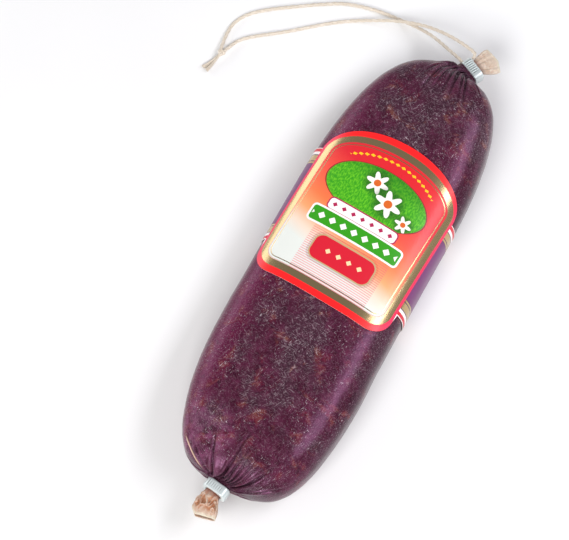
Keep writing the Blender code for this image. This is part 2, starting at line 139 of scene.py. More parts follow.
# The print, in millimetres of U and V: middle, half sizes and, for a box, its corner
RULED_BLOCK = ((2.0, 17.0), (18.0, 11.2), 0.5)
OVAL = ((-0.6, 52.2), (23.2, 12.3))
STUD_ARCH = ((0.0, 51.6), (27.0, 17.6))
RIBBON = ((0.0, 40.0), (16.0, 2.5), 1.6)
SASH = ((0.4, 33.0), (21.0, 3.4), 1.2)
PLAQUE = ((1.8, 20.2), (14.0, 5.6), 3.6)
# Flowers: middle, radius and turn
FLOWERS = (((-3.2, 57.6), 5.2, 0.3), ((5.4, 51.6), 6.2, 0.9), ((15.2, 47.2), 3.8, 0.0))
GRASS_BLADES = (170.0, 75.0, 1.0)  # the noise of the grass, for each unit of UV

# The twine's strands in millimetres, from the far clip to the knot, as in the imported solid
STRAND_A = ((1.8, 111.2, 15.1), (-0.6, 112.4, 15.0), (-7.2, 115.4, 12.6), (-16.0, 119.7, 8.4),
            (-24.5, 122.4, 4.3), (-34.8, 123.8, 1.3), (-46.3, 123.2, 0.8), (-58.0, 120.4, 0.8),
            (-67.0, 115.7, 0.8), (-76.4, 109.7, 0.8), (-87.0, 102.5, 0.8), (-93.8, 96.4, 0.8),
            (-97.2, 90.3, 0.8), (-97.8, 84.3, 0.9), (-96.5, 76.3, 1.8))
STRAND_B = ((4.9, 114.2, 16.5), (5.4, 115.3, 16.8), (3.8, 117.4, 16.5), (-5.6, 120.7, 13.2),
            (-15.0, 122.7, 9.8), (-24.0, 123.1, 6.8), (-35.0, 121.2, 4.0), (-49.8, 115.4, 1.1),
            (-59.0, 109.7, 0.8), (-68.6, 102.0, 0.8), (-76.4, 95.6, 0.8), (-86.4, 88.2, 0.8),
            (-91.6, 83.1, 0.9), (-94.3, 76.2, 1.8))
KNOT_CENTRE = (-95.4, 74.0, 1.9)
# Where each strand goes on into the knot
INTO_KNOT = {"string_a": (-95.8, 74.9, 2.3), "string_b": (-94.9, 74.9, 1.7)}
KNOT_TAIL = ((-95.9, 72.4, 1.6), (-96.7, 69.4, 1.1), (-97.6, 66.6, 0.95), (-98.7, 64.1, 0.95))
FIBRE_PITCH = 1 / 3  # of the fuzz, in millimetres. Real fibres are finer and wouldn't show
LOOSE_FIBRES = 46  # in each cut end, drawn thicker and fewer than real ones, so that they show

# The camera, in millimetres
CAMERA_PIVOT = (2.0, -1.2, 15.0)
PICTURE_SHIFT = (-23.9, 3.3)  # how far right and above the pivot the picture's middle lies
FOCAL_LENGTH = 243.3
SENSOR_WIDTH = 36.0

# The floor and lights, in metres. A softbox has its place, width along the sausage, height, watts and tint
FLOOR_WIDTH = 6.0
SIDE_GLOW = 0.40  # strength of the room's own light from the sides, and from above
TOP_GLOW = 0.24
LIGHTS_AIM = (0, 0, 0.02)
SOFTBOXES = (("right softbox", (0.53, 0.32, 0.68), 0.9, 0.26, 4.9, (0.95, 0.94, 1.0)),
             ("left softbox", (-0.89, 0.16, 0.29), 0.9, 0.4, 2.5, (1.0, 1.0, 1.0)),
             ("front softbox", (0.10, -1.00, 0.90), 0.8, 0.8, 16.5, (1.0, 1.0, 1.0)))


class End:
    """One end of the sausage: how it closes, and how its tail leaves the clip."""

    def __init__(self, **values):
        self.__dict__.update(values)

    def heading(self, yaw):
        """Unit vector out along the neck, turned from the sausage's axis."""
        return np.array([self.side * math.sin(yaw), self.side * math.cos(yaw), 0.0])

    def across(self, yaw):
        return np.array([math.cos(yaw), -math.sin(yaw), 0.0])

    def axes(self):
        """Across the clip, along the neck towards +Y, and up."""
        return np.array([self.across(self.clip_yaw), self.side * self.heading(self.clip_yaw), [0, 0, 1]])

    def neck_start(self):
        return np.array([self.neck_x, self.side * (self.body_end + self.funnel), BODY_CENTRE_Z])

    def clip_centre(self):
        return self.neck_start() + self.heading(self.clip_yaw) * (self.neck_showing + CLIP_WIDTH / 2)


def near_cut(across):
    """How far the near tail's cut falls short, for a place across it from -1 to 1."""
    return 3.0 * MM * np.maximum(0.0, (-across - 0.6) / 0.4)


def far_cut(across):
    """The far tail was cut twice: at a slant over its left part, straighter over its right."""
    return 2.1 * MM * np.maximum(0.0, (0.2 - across) / 1.2) + 0.9 * MM * np.maximum(0.0, (across - 0.2) / 0.8)


# Pleats that show, in millimetres: place across the middle where they leave the clip and where they end, then
# length, depth and width. A negative depth makes a ridge.
NEAR_PLEATS = ((-3.6, 2.4, 38, 1.2, 0.6), (-2.8, 5.6, 34, 0.9, 0.5), (-4.2, -12.0, 33, 1.2, 0.6),
               (-3.9, -7.6, 31, -1.0, 2.2), (-3.5, -20.0, 25, 0.9, 0.55), (-3.2, -22.0, 18, 0.7, 0.5),
               (-1.6, -1.2, 26, 0.5, 0.45), (0.2, 2.2, 27, 0.6, 0.45), (0.9, 6.4, 32, 0.6, 0.45),
               (1.5, 8.6, 26, 0.8, 0.5), (2.3, 12.4, 21, 0.8, 0.5), (2.9, 17.5, 30, 1.1, 0.6),
               (3.3, 19.0, 18, 0.8, 0.5), (3.5, 24.0, 24, 0.7, 0.5), (2.0, 11.4, 28, 0.5, 0.45))
FAR_PLEATS = ((-3.4, -9.8, 24, 0.7, 0.5), (-3.0, -6.8, 33, 1.2, 0.6), (-2.2, -4.4, 26, 0.7, 0.5),
              (-1.5, -2.2, 30, 0.9, 0.5), (-0.8, -0.5, 23, 0.6, 0.5), (0.0, 1.8, 31, 1.0, 0.55),
              (0.8, 3.8, 25, 0.6, 0.5), (1.4, 5.8, 34, 1.2, 0.6), (2.0, 7.6, 24, 0.6, 0.5),
              (2.5, 9.6, 30, 0.8, 0.5), (3.0, 13.0, 33, 1.2, 0.6), (3.4, 17.5, 23, 0.7, 0.5))
FOLD_EDGE = (-3.9, -23.5, 25, 0.5, 0.45)  # a fold at the near end's left, with a thin cream line along its edge

NEAR = End(side=-1, body_end=104.0 * MM, cap_length=60 * MM, cap_power=3.55, depth_length=40 * MM,
           funnel=1.0 * MM, lean=1.5 * MM, neck_showing=0.7 * MM, neck_x=0.15 * MM,
           clip_yaw=math.radians(10), gather_swell=0.36, gather_reach=4.0 * MM, neck_shade=0.5,
           tail_length=11.2 * MM, tail_half_width=5.5 * MM, tail_half_depth=3.4 * MM, tail_cut=near_cut,
           tail_turn=math.radians(-11), flatten=0.95, tail_folds=6, fold_height=0.7 * MM, crumple=1.3 * MM,
           fold_darkening=1.0, shown=NEAR_PLEATS, hidden=9, hidden_length=24.0, seed=3)
FAR = End(side=1, body_end=103.5 * MM, cap_length=66 * MM, cap_power=3.1, depth_length=46 * MM,
          funnel=2.7 * MM, lean=-2.4 * MM, neck_showing=1.6 * MM, neck_x=5.6 * MM,
          clip_yaw=math.radians(28), gather_swell=0.58, gather_reach=4.4 * MM, neck_shade=0.15,
          tail_length=9.6 * MM, tail_half_width=6.0 * MM, tail_half_depth=1.5 * MM, tail_cut=far_cut,
          tail_turn=math.radians(41), flatten=0.2, tail_folds=11, fold_height=0.55 * MM, crumple=0.2 * MM,
          fold_darkening=0.32, shown=FAR_PLEATS, hidden=11, hidden_length=24.0, seed=8)


def linear(code):
    """An sRGB hex colour as linear red, green and blue."""
    parts = [int(code[i:i + 2], 16) / 255 for i in (1, 3, 5)]
    return tuple(p / 12.92 if p <= 0.04045 else ((p + 0.055) / 1.055) ** 2.4 for p in parts)


def colour(name, code, description):
    return FloatVectorProperty(name=name, description=description, subtype="COLOR", size=3,
                               min=0.0, max=1.0, default=linear(code))


def size(name, value, description):
    return FloatProperty(name=name, description=description, subtype="DISTANCE", unit="LENGTH",
                         default=value, min=0.0, precision=5)


class CasingSettings(bpy.types.PropertyGroup):
    """The dark skin over the meat."""

    meat: colour("Meat", "#370f20", "Dark red of the meat through the casing")
    bloom: colour("Bloom", "#57253c", "Violet grey of the dry casing over the meat")
    blotch: colour("Blotch", "#67182a", "Redder meat close under the casing")
    fat: colour("Fat", "#8a5c45", "Tan smears of fat under the casing")
    fleck: colour("Fleck", "#c4afb6", "Pale specks and short scratches on the dry skin")
    grain_pitch: size("Grain pitch", 5.0 * MM, "Distance between the small bumps of minced meat")
    grain_height: size("Grain height", 0.12 * MM, "Height of those bumps")
    roughness: FloatProperty(name="Roughness", description="Roughness of the dry skin", default=0.21,
                             min=0.0, max=1.0)


class TailSettings(bpy.types.PropertyGroup):
    """The cut ends of the bare casing."""

    skin: colour("Skin", "#cdbfae", "Bare dried casing")
    # partly painted shade: this colour also darkens the tails' creases and sunk-in folds
    fold: colour("Fold", "#a9622e", "Deep folds, where the skin lies double")
    rim: colour("Rim", "#d3cbb6", "The thin cut edge")
    wall: size("Wall", 0.4 * MM, "Thickness of the gathered skin")


class ClipSettings(bpy.types.PropertyGroup):
    """The pressed aluminium clips."""

    metal: colour("Metal", "#d8e1e0", "Bare aluminium")
    rib_count: IntProperty(name="Ribs", description="Fine ribs over a clip's front", default=6, min=0)
    rib_pitch: size("Rib pitch", 1.0 * MM, "Distance between ribs")
    rib_height: size("Rib height", 0.36 * MM, "How far a rib stands proud")


class LabelSettings(bpy.types.PropertyGroup):
    """The printed paper label."""

    red: colour("Border red", "#ff1418", "The outer border")
    field: colour("Field red", "#dc1e2c", "The top of the inner field")
    orange: colour("Orange", "#ff7a45", "The middle of the inner field")
    cream: colour("Cream", "#e3e6df", "The bottom of the inner field")
    foil: colour("Foil", "#bfa67a", "Gold foil lines")
    green: colour("Green", "#2f9a08", "Meadow green")
    purple: colour("Purple", "#702f6a", "The band at the sides and below")
    yellow: colour("Yellow", "#ffc814", "The row of studs under the arch")


class TwineSettings(bpy.types.PropertyGroup):
    """The loop of natural twine."""

    fibre: colour("Fibre", "#d9cdbc", "Undyed fibre")
    plies: IntProperty(name="Plies", description="Yarns twisted together", default=3, min=1)
    lay: size("Lay length", 9.0 * MM, "Length of one full turn of a yarn")


class StageSettings(bpy.types.PropertyGroup):
    """The camera, the light and the floor."""

    azimuth: FloatProperty(name="Azimuth", description="Camera's turn round the sausage", subtype="ANGLE",
                           default=math.radians(27.3))
    elevation: FloatProperty(name="Elevation", description="Camera's height over the table", subtype="ANGLE",
                             default=math.radians(66.5))
    distance: size("Distance", 1.6, "From the camera to the sausage")
    floor: colour("Floor", "#f4f4f3", "The plain floor")
    light: FloatProperty(name="Light", description="Strength of the soft lights", default=1.0, min=0.0)


def smooth(x):
    """Eases from 0 to 1 as x goes from 0 to 1."""
    x = np.clip(x, 0.0, 1.0)
    return x * x * (3 - 2 * x)


def unit_section(angle):
    """The superellipse that fills the square from -1 to 1, at an angle from +X towards +Z."""
    c, s = np.cos(angle), np.sin(angle)
    return (np.sign(c) * np.abs(c) ** (2 / SECTION_POWER),
            np.sign(s) * np.abs(s) ** (2 / SECTION_POWER))


def section_table(half_width, half_depth, samples=1440):
    """Angles round the section, and the length walked along its outline to reach each."""
    angles = np.linspace(0, 2 * math.pi, samples + 1)
    x, z = unit_section(angles)
    steps = np.hypot(np.diff(x) * half_width, np.diff(z) * half_depth)
    return angles, np.concatenate([[0.0], np.cumsum(steps)])


def even_section(count):
    """Points of the unit section that lie evenly round the sausage's girth."""
    angles, walked = section_table(BODY_HALF_WIDTH, BODY_HALF_DEPTH)
    return unit_section(np.interp(np.arange(count) / count * walked[-1], walked, angles))


def cap_size(end, from_end):
    """Half width and half depth where the body has this length left to its end."""
    wide = 1 - (1 - np.clip(from_end / end.cap_length, 0, 1)) ** 2
    deep = 1 - (1 - np.clip(from_end / end.depth_length, 0, 1)) ** 2
    return (NECK_HALF_WIDTH + (BODY_HALF_WIDTH - NECK_HALF_WIDTH) * wide ** (1 / end.cap_power),
            NECK_HALF_DEPTH + (BODY_HALF_DEPTH - NECK_HALF_DEPTH) * deep ** (1 / end.cap_power))


def body_size(y):
    """Half width and half depth of the body at y."""
    near = cap_size(NEAR, NEAR.body_end + np.minimum(y, 0))
    far = cap_size(FAR, FAR.body_end - np.maximum(y, 0))
    return np.where(y > 0, far[0], near[0]), np.where(y > 0, far[1], near[1])


def bow(y):
    """The body's middle at y. It bows to the left."""
    return MIDDLE_X - BOW * (1 - (y / FAR.body_end) ** 2)


def along_label(points):
    """Place along the label, which sits askew, for points on the sausage."""
    return points[..., 1] + points[..., 0] * LABEL_SKEW


def floor_under(points):
    """The body's underside: on the table, and lifted where the band runs beneath it."""
    along = along_label(points)
    inside = np.minimum(along - BAND_NEAR, BAND_FAR - along) + LIFT_REACH
    return (LABEL_THICKNESS + LABEL_GAP) * smooth(inside / LIFT_EASE)


def clear_of_label(points):
    """0 beneath the label, rising to 1 over the clearance beyond it."""
    near = smooth((PANEL_NEAR - MM - along_label(points)) / LABEL_CLEARANCE)
    far = smooth((along_label(points) - BAND_FAR - ARCH_RISE - MM) / LABEL_CLEARANCE)
    return near + far


def even_cap(end, samples=4000):
    """Lengths to the end, evenly spread along the cap's outline, and how far each lies from the neck."""
    fine = end.cap_length * (1 - np.cos(np.linspace(math.pi / 2, 0, samples)))
    wide, _ = cap_size(end, fine)
    walked = np.concatenate([[0], np.cumsum(np.hypot(np.diff(fine), np.diff(wide)))])
    even = np.linspace(0, walked[-1], CAP_RINGS)
    return np.interp(even, walked, fine), walked[-1] - even


def cap_points(end, from_end, section):
    """Rows of points from the barrel to the neck: a blunt end that draws in to the clip."""
    wide, deep = cap_size(end, from_end)
    closed = (BODY_HALF_WIDTH - wide) / (BODY_HALF_WIDTH - NECK_HALF_WIDTH)
    y = end.side * (end.body_end - from_end)
    x = bow(y) + end.lean * closed * (1 - closed ** 3) + (end.neck_x - MIDDLE_X) * closed ** 4
    y = y + end.side * end.funnel * closed ** 4
    yaw = end.clip_yaw * closed ** 5
    return np.stack([x[:, None] + np.outer(np.cos(yaw) * wide, section[0]),
                     y[:, None] - np.outer(np.sin(yaw) * wide, section[0]),
                     BODY_CENTRE_Z + np.outer(deep, section[1])], axis=-1)


def gathered(end, points, from_neck):
    """The same rows with the skin bunched up against the clip."""
    middle = points.mean(axis=1, keepdims=True)
    swell = end.gather_swell * np.exp(-(from_neck / end.gather_reach) ** 2)
    return middle + (points - middle) * (1 + swell)[:, None, None]


def neck_points(end, section):
    """More rows: bunched up to the clip's face, then drawn in to the neck inside it."""
    rows = []
    for reach in NECK_ROWS:
        swell = end.gather_swell if reach < 0 else 0.0
        spot = end.neck_start() + end.heading(end.clip_yaw) * (end.neck_showing + CLIP_WIDTH * reach)
        rows.append(spot + np.outer(section[0] * NECK_HALF_WIDTH * (1 + swell), end.across(end.clip_yaw))
                    + np.outer(section[1] * NECK_HALF_DEPTH * (1 + swell), [0, 0, 1]))
    return np.array(rows)


def all_pleats(end):
    """The pleats that show, random ones on the underside and finer ones round the clip. Each starts within
    the neck's width, in millimetres, and ends with 1 on the upper face or -1 on the underside."""
    draw = np.random.default_rng(end.seed)
    pleats = [(*pleat, 1) for pleat in end.shown]
    for i in range(end.hidden):
        start = 7.0 * (i + draw.uniform(0.2, 0.8)) / end.hidden - 3.5
        length = end.hidden_length * draw.uniform(0.7, 1.3)
        pleats.append((start, start * draw.uniform(4, 6.5), length, draw.uniform(0.4, 0.9),
                       draw.uniform(0.5, 0.8), -1))
    for i in range(FINE_PLEATS):
        start = 7.4 * (i + draw.uniform(0.1, 0.9)) / FINE_PLEATS - 3.7
        pleats.append((start, start * draw.uniform(2.5, 4.0), draw.uniform(6, 13), draw.uniform(0.15, 0.4),
                       draw.uniform(0.3, 0.42), 1 - 2 * (i % 2)))
    return pleats


def over_the_top(across):
    """Share of the girth, from the right side over the top, where the unit section is this far across."""
    angles, walked = section_table(BODY_HALF_WIDTH, BODY_HALF_DEPTH)
    turn = np.arccos(np.sign(across) * np.abs(across) ** (SECTION_POWER / 2))
    return np.interp(turn, angles, walked) / walked[-1]


def crease(pleat, from_neck, wide, girth, fractions):
    """How far aside of a pleat each point lies, in widths, and the pleat's strength along its length."""
    start, finish, length, _, width, face = pleat
    part = np.clip(from_neck / (length * MM), 0, 1)
    spot = over_the_top(np.clip((start + (finish - start) * part) * MM / wide, -1, 1))
    widths = np.minimum(width * MM, girth / PLEAT_CROWDING)
    aside = ((fractions[None, :] - face * spot[:, None] + 0.5) % 1.0 - 0.5) * (girth / widths)[:, None]
    near_clip = smooth(0.45 + from_neck / PLEAT_RISE) * (0.3 + 0.7 * smooth(girth / PLEAT_GIRTH))
    strength = (1 - part) ** 0.6 * near_clip
    return aside, strength[:, None]


def pleat_relief(end, from_neck, wide, girth, fractions):
    """Heights over the smooth cap, then from 0 to 1 the painted shade in creases, beside the fold and near
    the clip, the painted highlight on pleats' lips, and how near the fold's cream edge each point is."""
    height = np.zeros((len(from_neck), len(fractions)))
    shade, ridge_highlight = np.zeros_like(height), np.zeros_like(height)
    for pleat in all_pleats(end):
        aside, strength = crease(pleat, from_neck, wide, girth, fractions)
        depth = pleat[3]
        groove = np.exp(-aside ** 2)
        lip = 0.55 * np.exp(-(aside - 1.9) ** 2) + 0.3 * np.exp(-(aside + 1.9) ** 2 / 2)
        height += depth * MM * strength * (lip - groove)
        # painted shade down in each crease
        shade = np.maximum(shade, strength * groove * min(1.0, depth / 0.6))
        # painted highlight on each pleat's lip, and along the crest of a raised pleat
        ridge_highlight = np.maximum(ridge_highlight, strength * (lip if depth > 0 else groove))
    # painted shade, darker close to the clip
    shade = np.maximum(shade, end.neck_shade * np.exp(-from_neck / NECK_SHADE_REACH)[:, None])
    edge = np.zeros_like(height)
    if end is NEAR:
        aside, strength = crease((*FOLD_EDGE, 1), from_neck, wide, girth, fractions)
        fold = np.exp(-aside ** 2)
        under = np.exp(-(aside - 1.7) ** 2)
        edge = fold * smooth(strength * 3) * smooth((from_neck - 8 * MM) / (6 * MM))[:, None]
        height += FOLD_EDGE[3] * MM * strength * (fold - 0.9 * under)
        # painted shade in the groove beside the fold
        shade = np.maximum(shade, 0.8 * strength * under)
    return height, shade, ridge_highlight, edge


def lump_relief(points):
    """The uneven filling under the casing, smoothed out under the label and towards the ends."""
    short_of_clip = smooth((FAR.body_end - np.abs(points[..., 1])) / LUMP_FADE - 0.4)
    height = np.array([noise.noise(Vector(p) / LUMP_PITCH) for p in points.reshape(-1, 3)])
    return LUMP_HEIGHT * height.reshape(points.shape[:2]) * clear_of_label(points) * short_of_clip


def outward_normals(points):
    """Unit normals of a grid whose rows run along +Y and whose columns go round from +X to +Z."""
    along = np.gradient(points, axis=0)
    around = np.roll(points, -1, axis=1) - np.roll(points, 1, axis=1)
    normals = np.cross(along, around)
    return normals / np.maximum(np.linalg.norm(normals, axis=2, keepdims=True), 1e-12)


def ring_girths(points):
    """The length round each ring of a grid."""
    return np.linalg.norm(points - np.roll(points, 1, axis=1), axis=2).sum(axis=1)


def grid_faces(rows, columns):
    """Quads of a grid that closes on itself round its columns."""
    first = np.arange(rows - 1)[:, None] * columns
    j = np.arange(columns)[None, :]
    k = (j + 1) % columns
    return np.stack([first + j, first + columns + j, first + columns + k, first + k], axis=-1).reshape(-1, 4)


def smooth_mesh(name, points, faces, sharp_from=None):
    """A smoothly shaded mesh. Given an angle in degrees, edges past it stay sharp."""
    mesh = bpy.data.meshes.new(name)
    mesh.from_pydata(points.tolist(), [], faces)
    mesh.shade_smooth()
    if sharp_from:
        mesh.set_sharp_from_angle(angle=math.radians(sharp_from))
    return mesh


def closed_tube(name, points):
    """A mesh of a grid of rings, each of its ends closed by a fan to one middle point."""
    rows, columns = points.shape[:2]
    tips = np.stack([points[0].mean(axis=0), points[-1].mean(axis=0)])
    faces = grid_faces(rows, columns).tolist()
    count = rows * columns
    last = count - columns
    for j in range(columns):
        k = (j + 1) % columns
        faces.append((count, j, k))
        faces.append((count + 1, last + k, last + j))
    return smooth_mesh(name, np.concatenate([points.reshape(-1, 3), tips]), faces)


def store(mesh, name, values):
    """Keeps a number for each point. The values cover the first points, and the rest get 0."""
    layer = mesh.attributes.new(name, "FLOAT", "POINT")
    padded = np.zeros(len(mesh.vertices), np.float32)
    flat = np.asarray(values, np.float32).reshape(-1)
    padded[:len(flat)] = flat
    layer.data.foreach_set("value", padded)


def place(name, data, *materials):
    """A new object in the scene, with its materials."""
    made = bpy.data.objects.new(name, data)
    bpy.context.scene.collection.objects.link(made)
    for look in materials:
        data.materials.append(look)
    return made


def dress(piece, slot, *nodes):
    """Lets a piece ride on the part and stand for CAD nodes. Its slot is not used."""
    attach(piece, "root")
    if nodes:
        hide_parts(*nodes)


def feed(tree, node, links):
    """Feeds a node's inputs by name or place, each from a value, a number, a socket or another node."""
    for key, value in links.items():
        target = node.inputs[key]
        if isinstance(value, Number):
            value = value.source
        if isinstance(value, bpy.types.Node):
            value = next(s for s in value.outputs if s.enabled)
        if isinstance(value, bpy.types.NodeSocket):
            tree.links.new(value, target)
        elif target.type == "RGBA":
            target.default_value = (*value, 1.0)
        else:
            target.default_value = value


def add(tree, kind, links=None, **settings):
    """Adds a node with its settings and what feeds its inputs."""
    made = tree.nodes.new(kind)
    for key, value in settings.items():
        setattr(made, key, value)
    feed(tree, made, links or {})
    return made


class Number:
    """A number in a node tree. Sums with it add the nodes that work them out. | gives the greater of two."""

    def __init__(self, tree, source):
        self.tree, self.source = tree, source

    def by(self, how, *others):
        """What one arithmetic step makes of this number and others."""
        links = dict(enumerate((self, *others)))
        return Number(self.tree, add(self.tree, "ShaderNodeMath", links, operation=how))

    def __rsub__(self, other):
        return Number(self.tree, other).by("SUBTRACT", self)

    __add__ = partialmethod(by, "ADD")
    __sub__ = partialmethod(by, "SUBTRACT")
    __mul__ = partialmethod(by, "MULTIPLY")
    __truediv__ = partialmethod(by, "DIVIDE")
    __lt__ = partialmethod(by, "LESS_THAN")
    __gt__ = partialmethod(by, "GREATER_THAN")
    __or__ = partialmethod(by, "MAXIMUM")
    __abs__ = partialmethod(by, "ABSOLUTE")


def number(tree, kind, links=None, output=None, **settings):
    """Adds a node and gives one of its outputs, or else its first, as a number."""
    made = add(tree, kind, links, **settings)
    return Number(tree, made.outputs[output] if output else made)


def stored(tree, *names):
    """Numbers that a mesh keeps for its points."""
    return [number(tree, "ShaderNodeAttribute", None, "Fac", attribute_name=name) for name in names]


def surface(name):
    """A new material, its tree and its Principled BSDF."""
    made = bpy.data.materials.new(name)
    made.use_nodes = True
    return made, made.node_tree, made.node_tree.nodes["Principled BSDF"]


def in_millimetres(tree):
    """Object coordinates, counted in millimetres."""
    where = add(tree, "ShaderNodeTexCoord").outputs["Object"]
    return add(tree, "ShaderNodeVectorMath", {0: where, "Scale": 1 / MM}, operation="SCALE")


def patches(tree, where, pitch, low, high, detail=3.0, rough=0.5, warp=0.0):
    """0 to 1 in cloudy patches, a pitch in millimetres apart, rising as the noise goes from low to high."""
    cloud = add(tree, "ShaderNodeTexNoise", {"Vector": where, "Scale": 1 / pitch, "Detail": detail,
                                             "Roughness": rough, "Distortion": warp})
    return number(tree, "ShaderNodeMapRange", {0: cloud, 1: low, 2: high}, interpolation_type="SMOOTHSTEP")


def layered(tree, base, *layers):
    """Colours laid over a base. A layer is a colour or its hex code, then numbers that make up its share."""
    for tint, *shares in layers:
        tint = linear(tint) if isinstance(tint, str) else tint
        base = add(tree, "ShaderNodeMix", {0: reduce(mul, shares), 6: base, 7: tint}, data_type="RGBA")
    return base


def relief(tree, height, strength, depth):
    """A shader's normals over bumps too fine to model."""
    return add(tree, "ShaderNodeBump", {"Height": height, "Strength": strength, "Distance": depth})


def hairs(tree, where, turn, length, width, low, high):
    """Fine strokes that lie mostly one way, turned from the sausage's length, and bend a little."""
    turned = add(tree, "ShaderNodeMapping", {"Vector": where, "Rotation": (0, 0, turn)}, vector_type="POINT")
    drift = add(tree, "ShaderNodeTexNoise", {"Vector": where, "Scale": 1 / (3 * length), "Detail": 1.0})
    bent = add(tree, "ShaderNodeVectorMath", {0: drift.outputs["Color"], 1: (length,) * 3, 2: turned},
               operation="MULTIPLY_ADD")
    drawn = add(tree, "ShaderNodeVectorMath", {0: bent, 1: (1 / width, 1 / length, 1 / width)},
                operation="MULTIPLY")
    strokes = add(tree, "ShaderNodeTexNoise", {"Vector": drawn, "Scale": 1.0, "Detail": 0.0})
    return number(tree, "ShaderNodeMapRange", {0: strokes, 1: low, 2: high})


def casing_look(looks):
    """Natural gut casing, air-dried onto dark meat: satin, mottled, with a dusty bloom and pale hairs."""
    made, tree, shader = surface("natural_casing")
    where = in_millimetres(tree)
    aside = number(tree, "ShaderNodeSeparateXYZ", {0: where}, "X") - MIDDLE_X / MM
    from_painted_light = add(tree, "ShaderNodeVectorMath", {0: where, 1: PAINTED_LIGHT_SPOT}, operation="DISTANCE")
    left, right, painted_light_patch = (
        number(tree, "ShaderNodeMapRange", {0: spot, 1: none, 2: full}, interpolation_type="SMOOTHSTEP")
        for spot, (none, full) in ((aside, LEFT_PAINTED_LIGHT), (aside, RIGHT_PAINTED_SHADE),
                                    (from_painted_light.outputs["Value"], PAINTED_LIGHT_REACH)))
    dusty = patches(tree, where, 20, 0.46, 0.60, 2.0) * (1.0 - left - right)
    tan = patches(tree, where, 6.5, 0.55, 0.74, 6.0, 0.66, 0.6) * (dusty * 0.4 + 0.4)
    grain = patches(tree, where, 0.6, 0.50, 0.70, 2.0, 0.6)
    strokes, scratches = (reduce(or_, [hairs(tree, where, *row) for row in rows])
                          for rows in (STROKES, SCRATCHES))
    grains = add(tree, "ShaderNodeTexVoronoi", {"Vector": where, "Scale": 1 / SPECK_PITCH})
    specks = number(tree, "ShaderNodeMapRange", {0: grains.outputs["Distance"], 1: 0.13, 2: 0.05})
    ridge_highlight, crease, bare = stored(tree, "ridge_highlight", "crease", "bare")
    base = layered(
        tree, looks.meat,
        (looks.bloom, patches(tree, where, 6.0, 0.36, 0.68, 8.0, 0.74)),
        ("#5f1138", left, 0.8),  # painted light: the left flank lighter and redder
        ("#1f060f", right, 0.75),  # painted shade: the right flank nearly black
        ("#8a4c6e", painted_light_patch, patches(tree, where, 4.0, 0.35, 0.60, 4.0), 0.75),  # painted light: a paler violet patch on the upper left of the near end
        (looks.blotch, patches(tree, where, 6.5, 0.52, 0.68, 5.0, 0.62, 0.3), 0.6),
        ("#3a2c33", dusty, 0.5),  # grey dust on the upper face
        (looks.fat, tan, 0.9),
        ("#1f0a14", patches(tree, where, 2.4, 0.54, 0.68, 5.0, 0.65, 0.3), 0.6),  # dark lean meat
        ("#7d5164", grain, 0.22),  # the skin's own fine grain
        (looks.fleck, strokes, dusty * 0.18 + tan * 0.6 + 0.13),
        ("#d8cbd0", scratches, patches(tree, where, 13, 0.38, 0.60, 2.0), 0.65),  # dry scratches
        (looks.fleck, specks, patches(tree, where, 9, 0.45, 0.62, 2.0), 0.5),
        ("#935a78", ridge_highlight, 0.42),  # painted highlight: paler on the lips of the pleats
        ("#12040a", crease, 1.2),  # painted shade in the creases, beside the fold and near the clips
        ("#e3c3a6", bare))  # a thin cream line along the fold's edge
    ripples = add(tree, "ShaderNodeTexNoise", {"Vector": where, "Scale": 1 / RIPPLE_PITCH, "Detail": 5.0,
                                               "Roughness": 0.65, "Distortion": 0.7})
    feed(tree, shader, {
        "Base Color": base, "Specular IOR Level": 0.38, "Specular Tint": linear("#f2aee0"),
        "Roughness": add(tree, "ShaderNodeMapRange", {0: grain, 3: looks.roughness - 0.04,
                                                      4: looks.roughness + 0.14}),
        "Normal": relief(tree, ripples, 0.32, 0.2 * MM)})
    return made


def tail_look(looks):
    """Bare dried gut: thin, matt to satin, darker and redder where it nears the meat and where it lies in
    folds, there partly painted shade.
    """
    made, tree, shader = surface("bare_dried_casing")
    where = in_millimetres(tree)
    fold, outward = stored(tree, "fold", "outward")
    base = layered(
        tree, looks.skin,
        # partly the skin's tone where it lies double, partly painted shade in creases and hollows
        (looks.fold, fold, 0.85),
        ("#e6d9ca", patches(tree, where, 1.5, 0.45, 0.7, 5.0), 0.5),  # pale where it is thinnest
        # stained by meat juice close to the clip
        ("#7c3a2a", add(tree, "ShaderNodeMapRange", {0: outward, 1: 0.30, 2: 0.08, 4: 0.75})),
        (looks.rim, add(tree, "ShaderNodeMapRange", {0: outward, 1: 0.88, 2: 1.0})))
    wrinkles = add(tree, "ShaderNodeTexNoise", {"Vector": where, "Scale": 1 / RIPPLE_PITCH, "Detail": 4.0})
    feed(tree, shader, {
        "Base Color": base, "Roughness": 0.5, "Subsurface Weight": 0.15, "Subsurface Radius": (1.0, 0.5, 0.3),
        "Subsurface Scale": 0.6 * MM, "Normal": relief(tree, wrinkles, 0.5, 0.2 * MM)})
    return made


def clip_look(name, metal):
    """Soft aluminium strip, rolled and then pressed: pale and satin, with faint rolling lines."""
    made, tree, shader = surface(name)
    stretched = add(tree, "ShaderNodeVectorMath", {0: in_millimetres(tree), 1: ROLLING_LINES},
                    operation="MULTIPLY")
    lines = add(tree, "ShaderNodeTexNoise", {"Vector": stretched, "Scale": 1.0, "Detail": 3.0})
    feed(tree, shader, {
        "Base Color": metal, "Metallic": 0.45, "Normal": relief(tree, lines, 0.3, 0.05 * MM),
        "Roughness": add(tree, "ShaderNodeMapRange", {0: lines, 3: 0.28, 4: 0.46})})
    return made


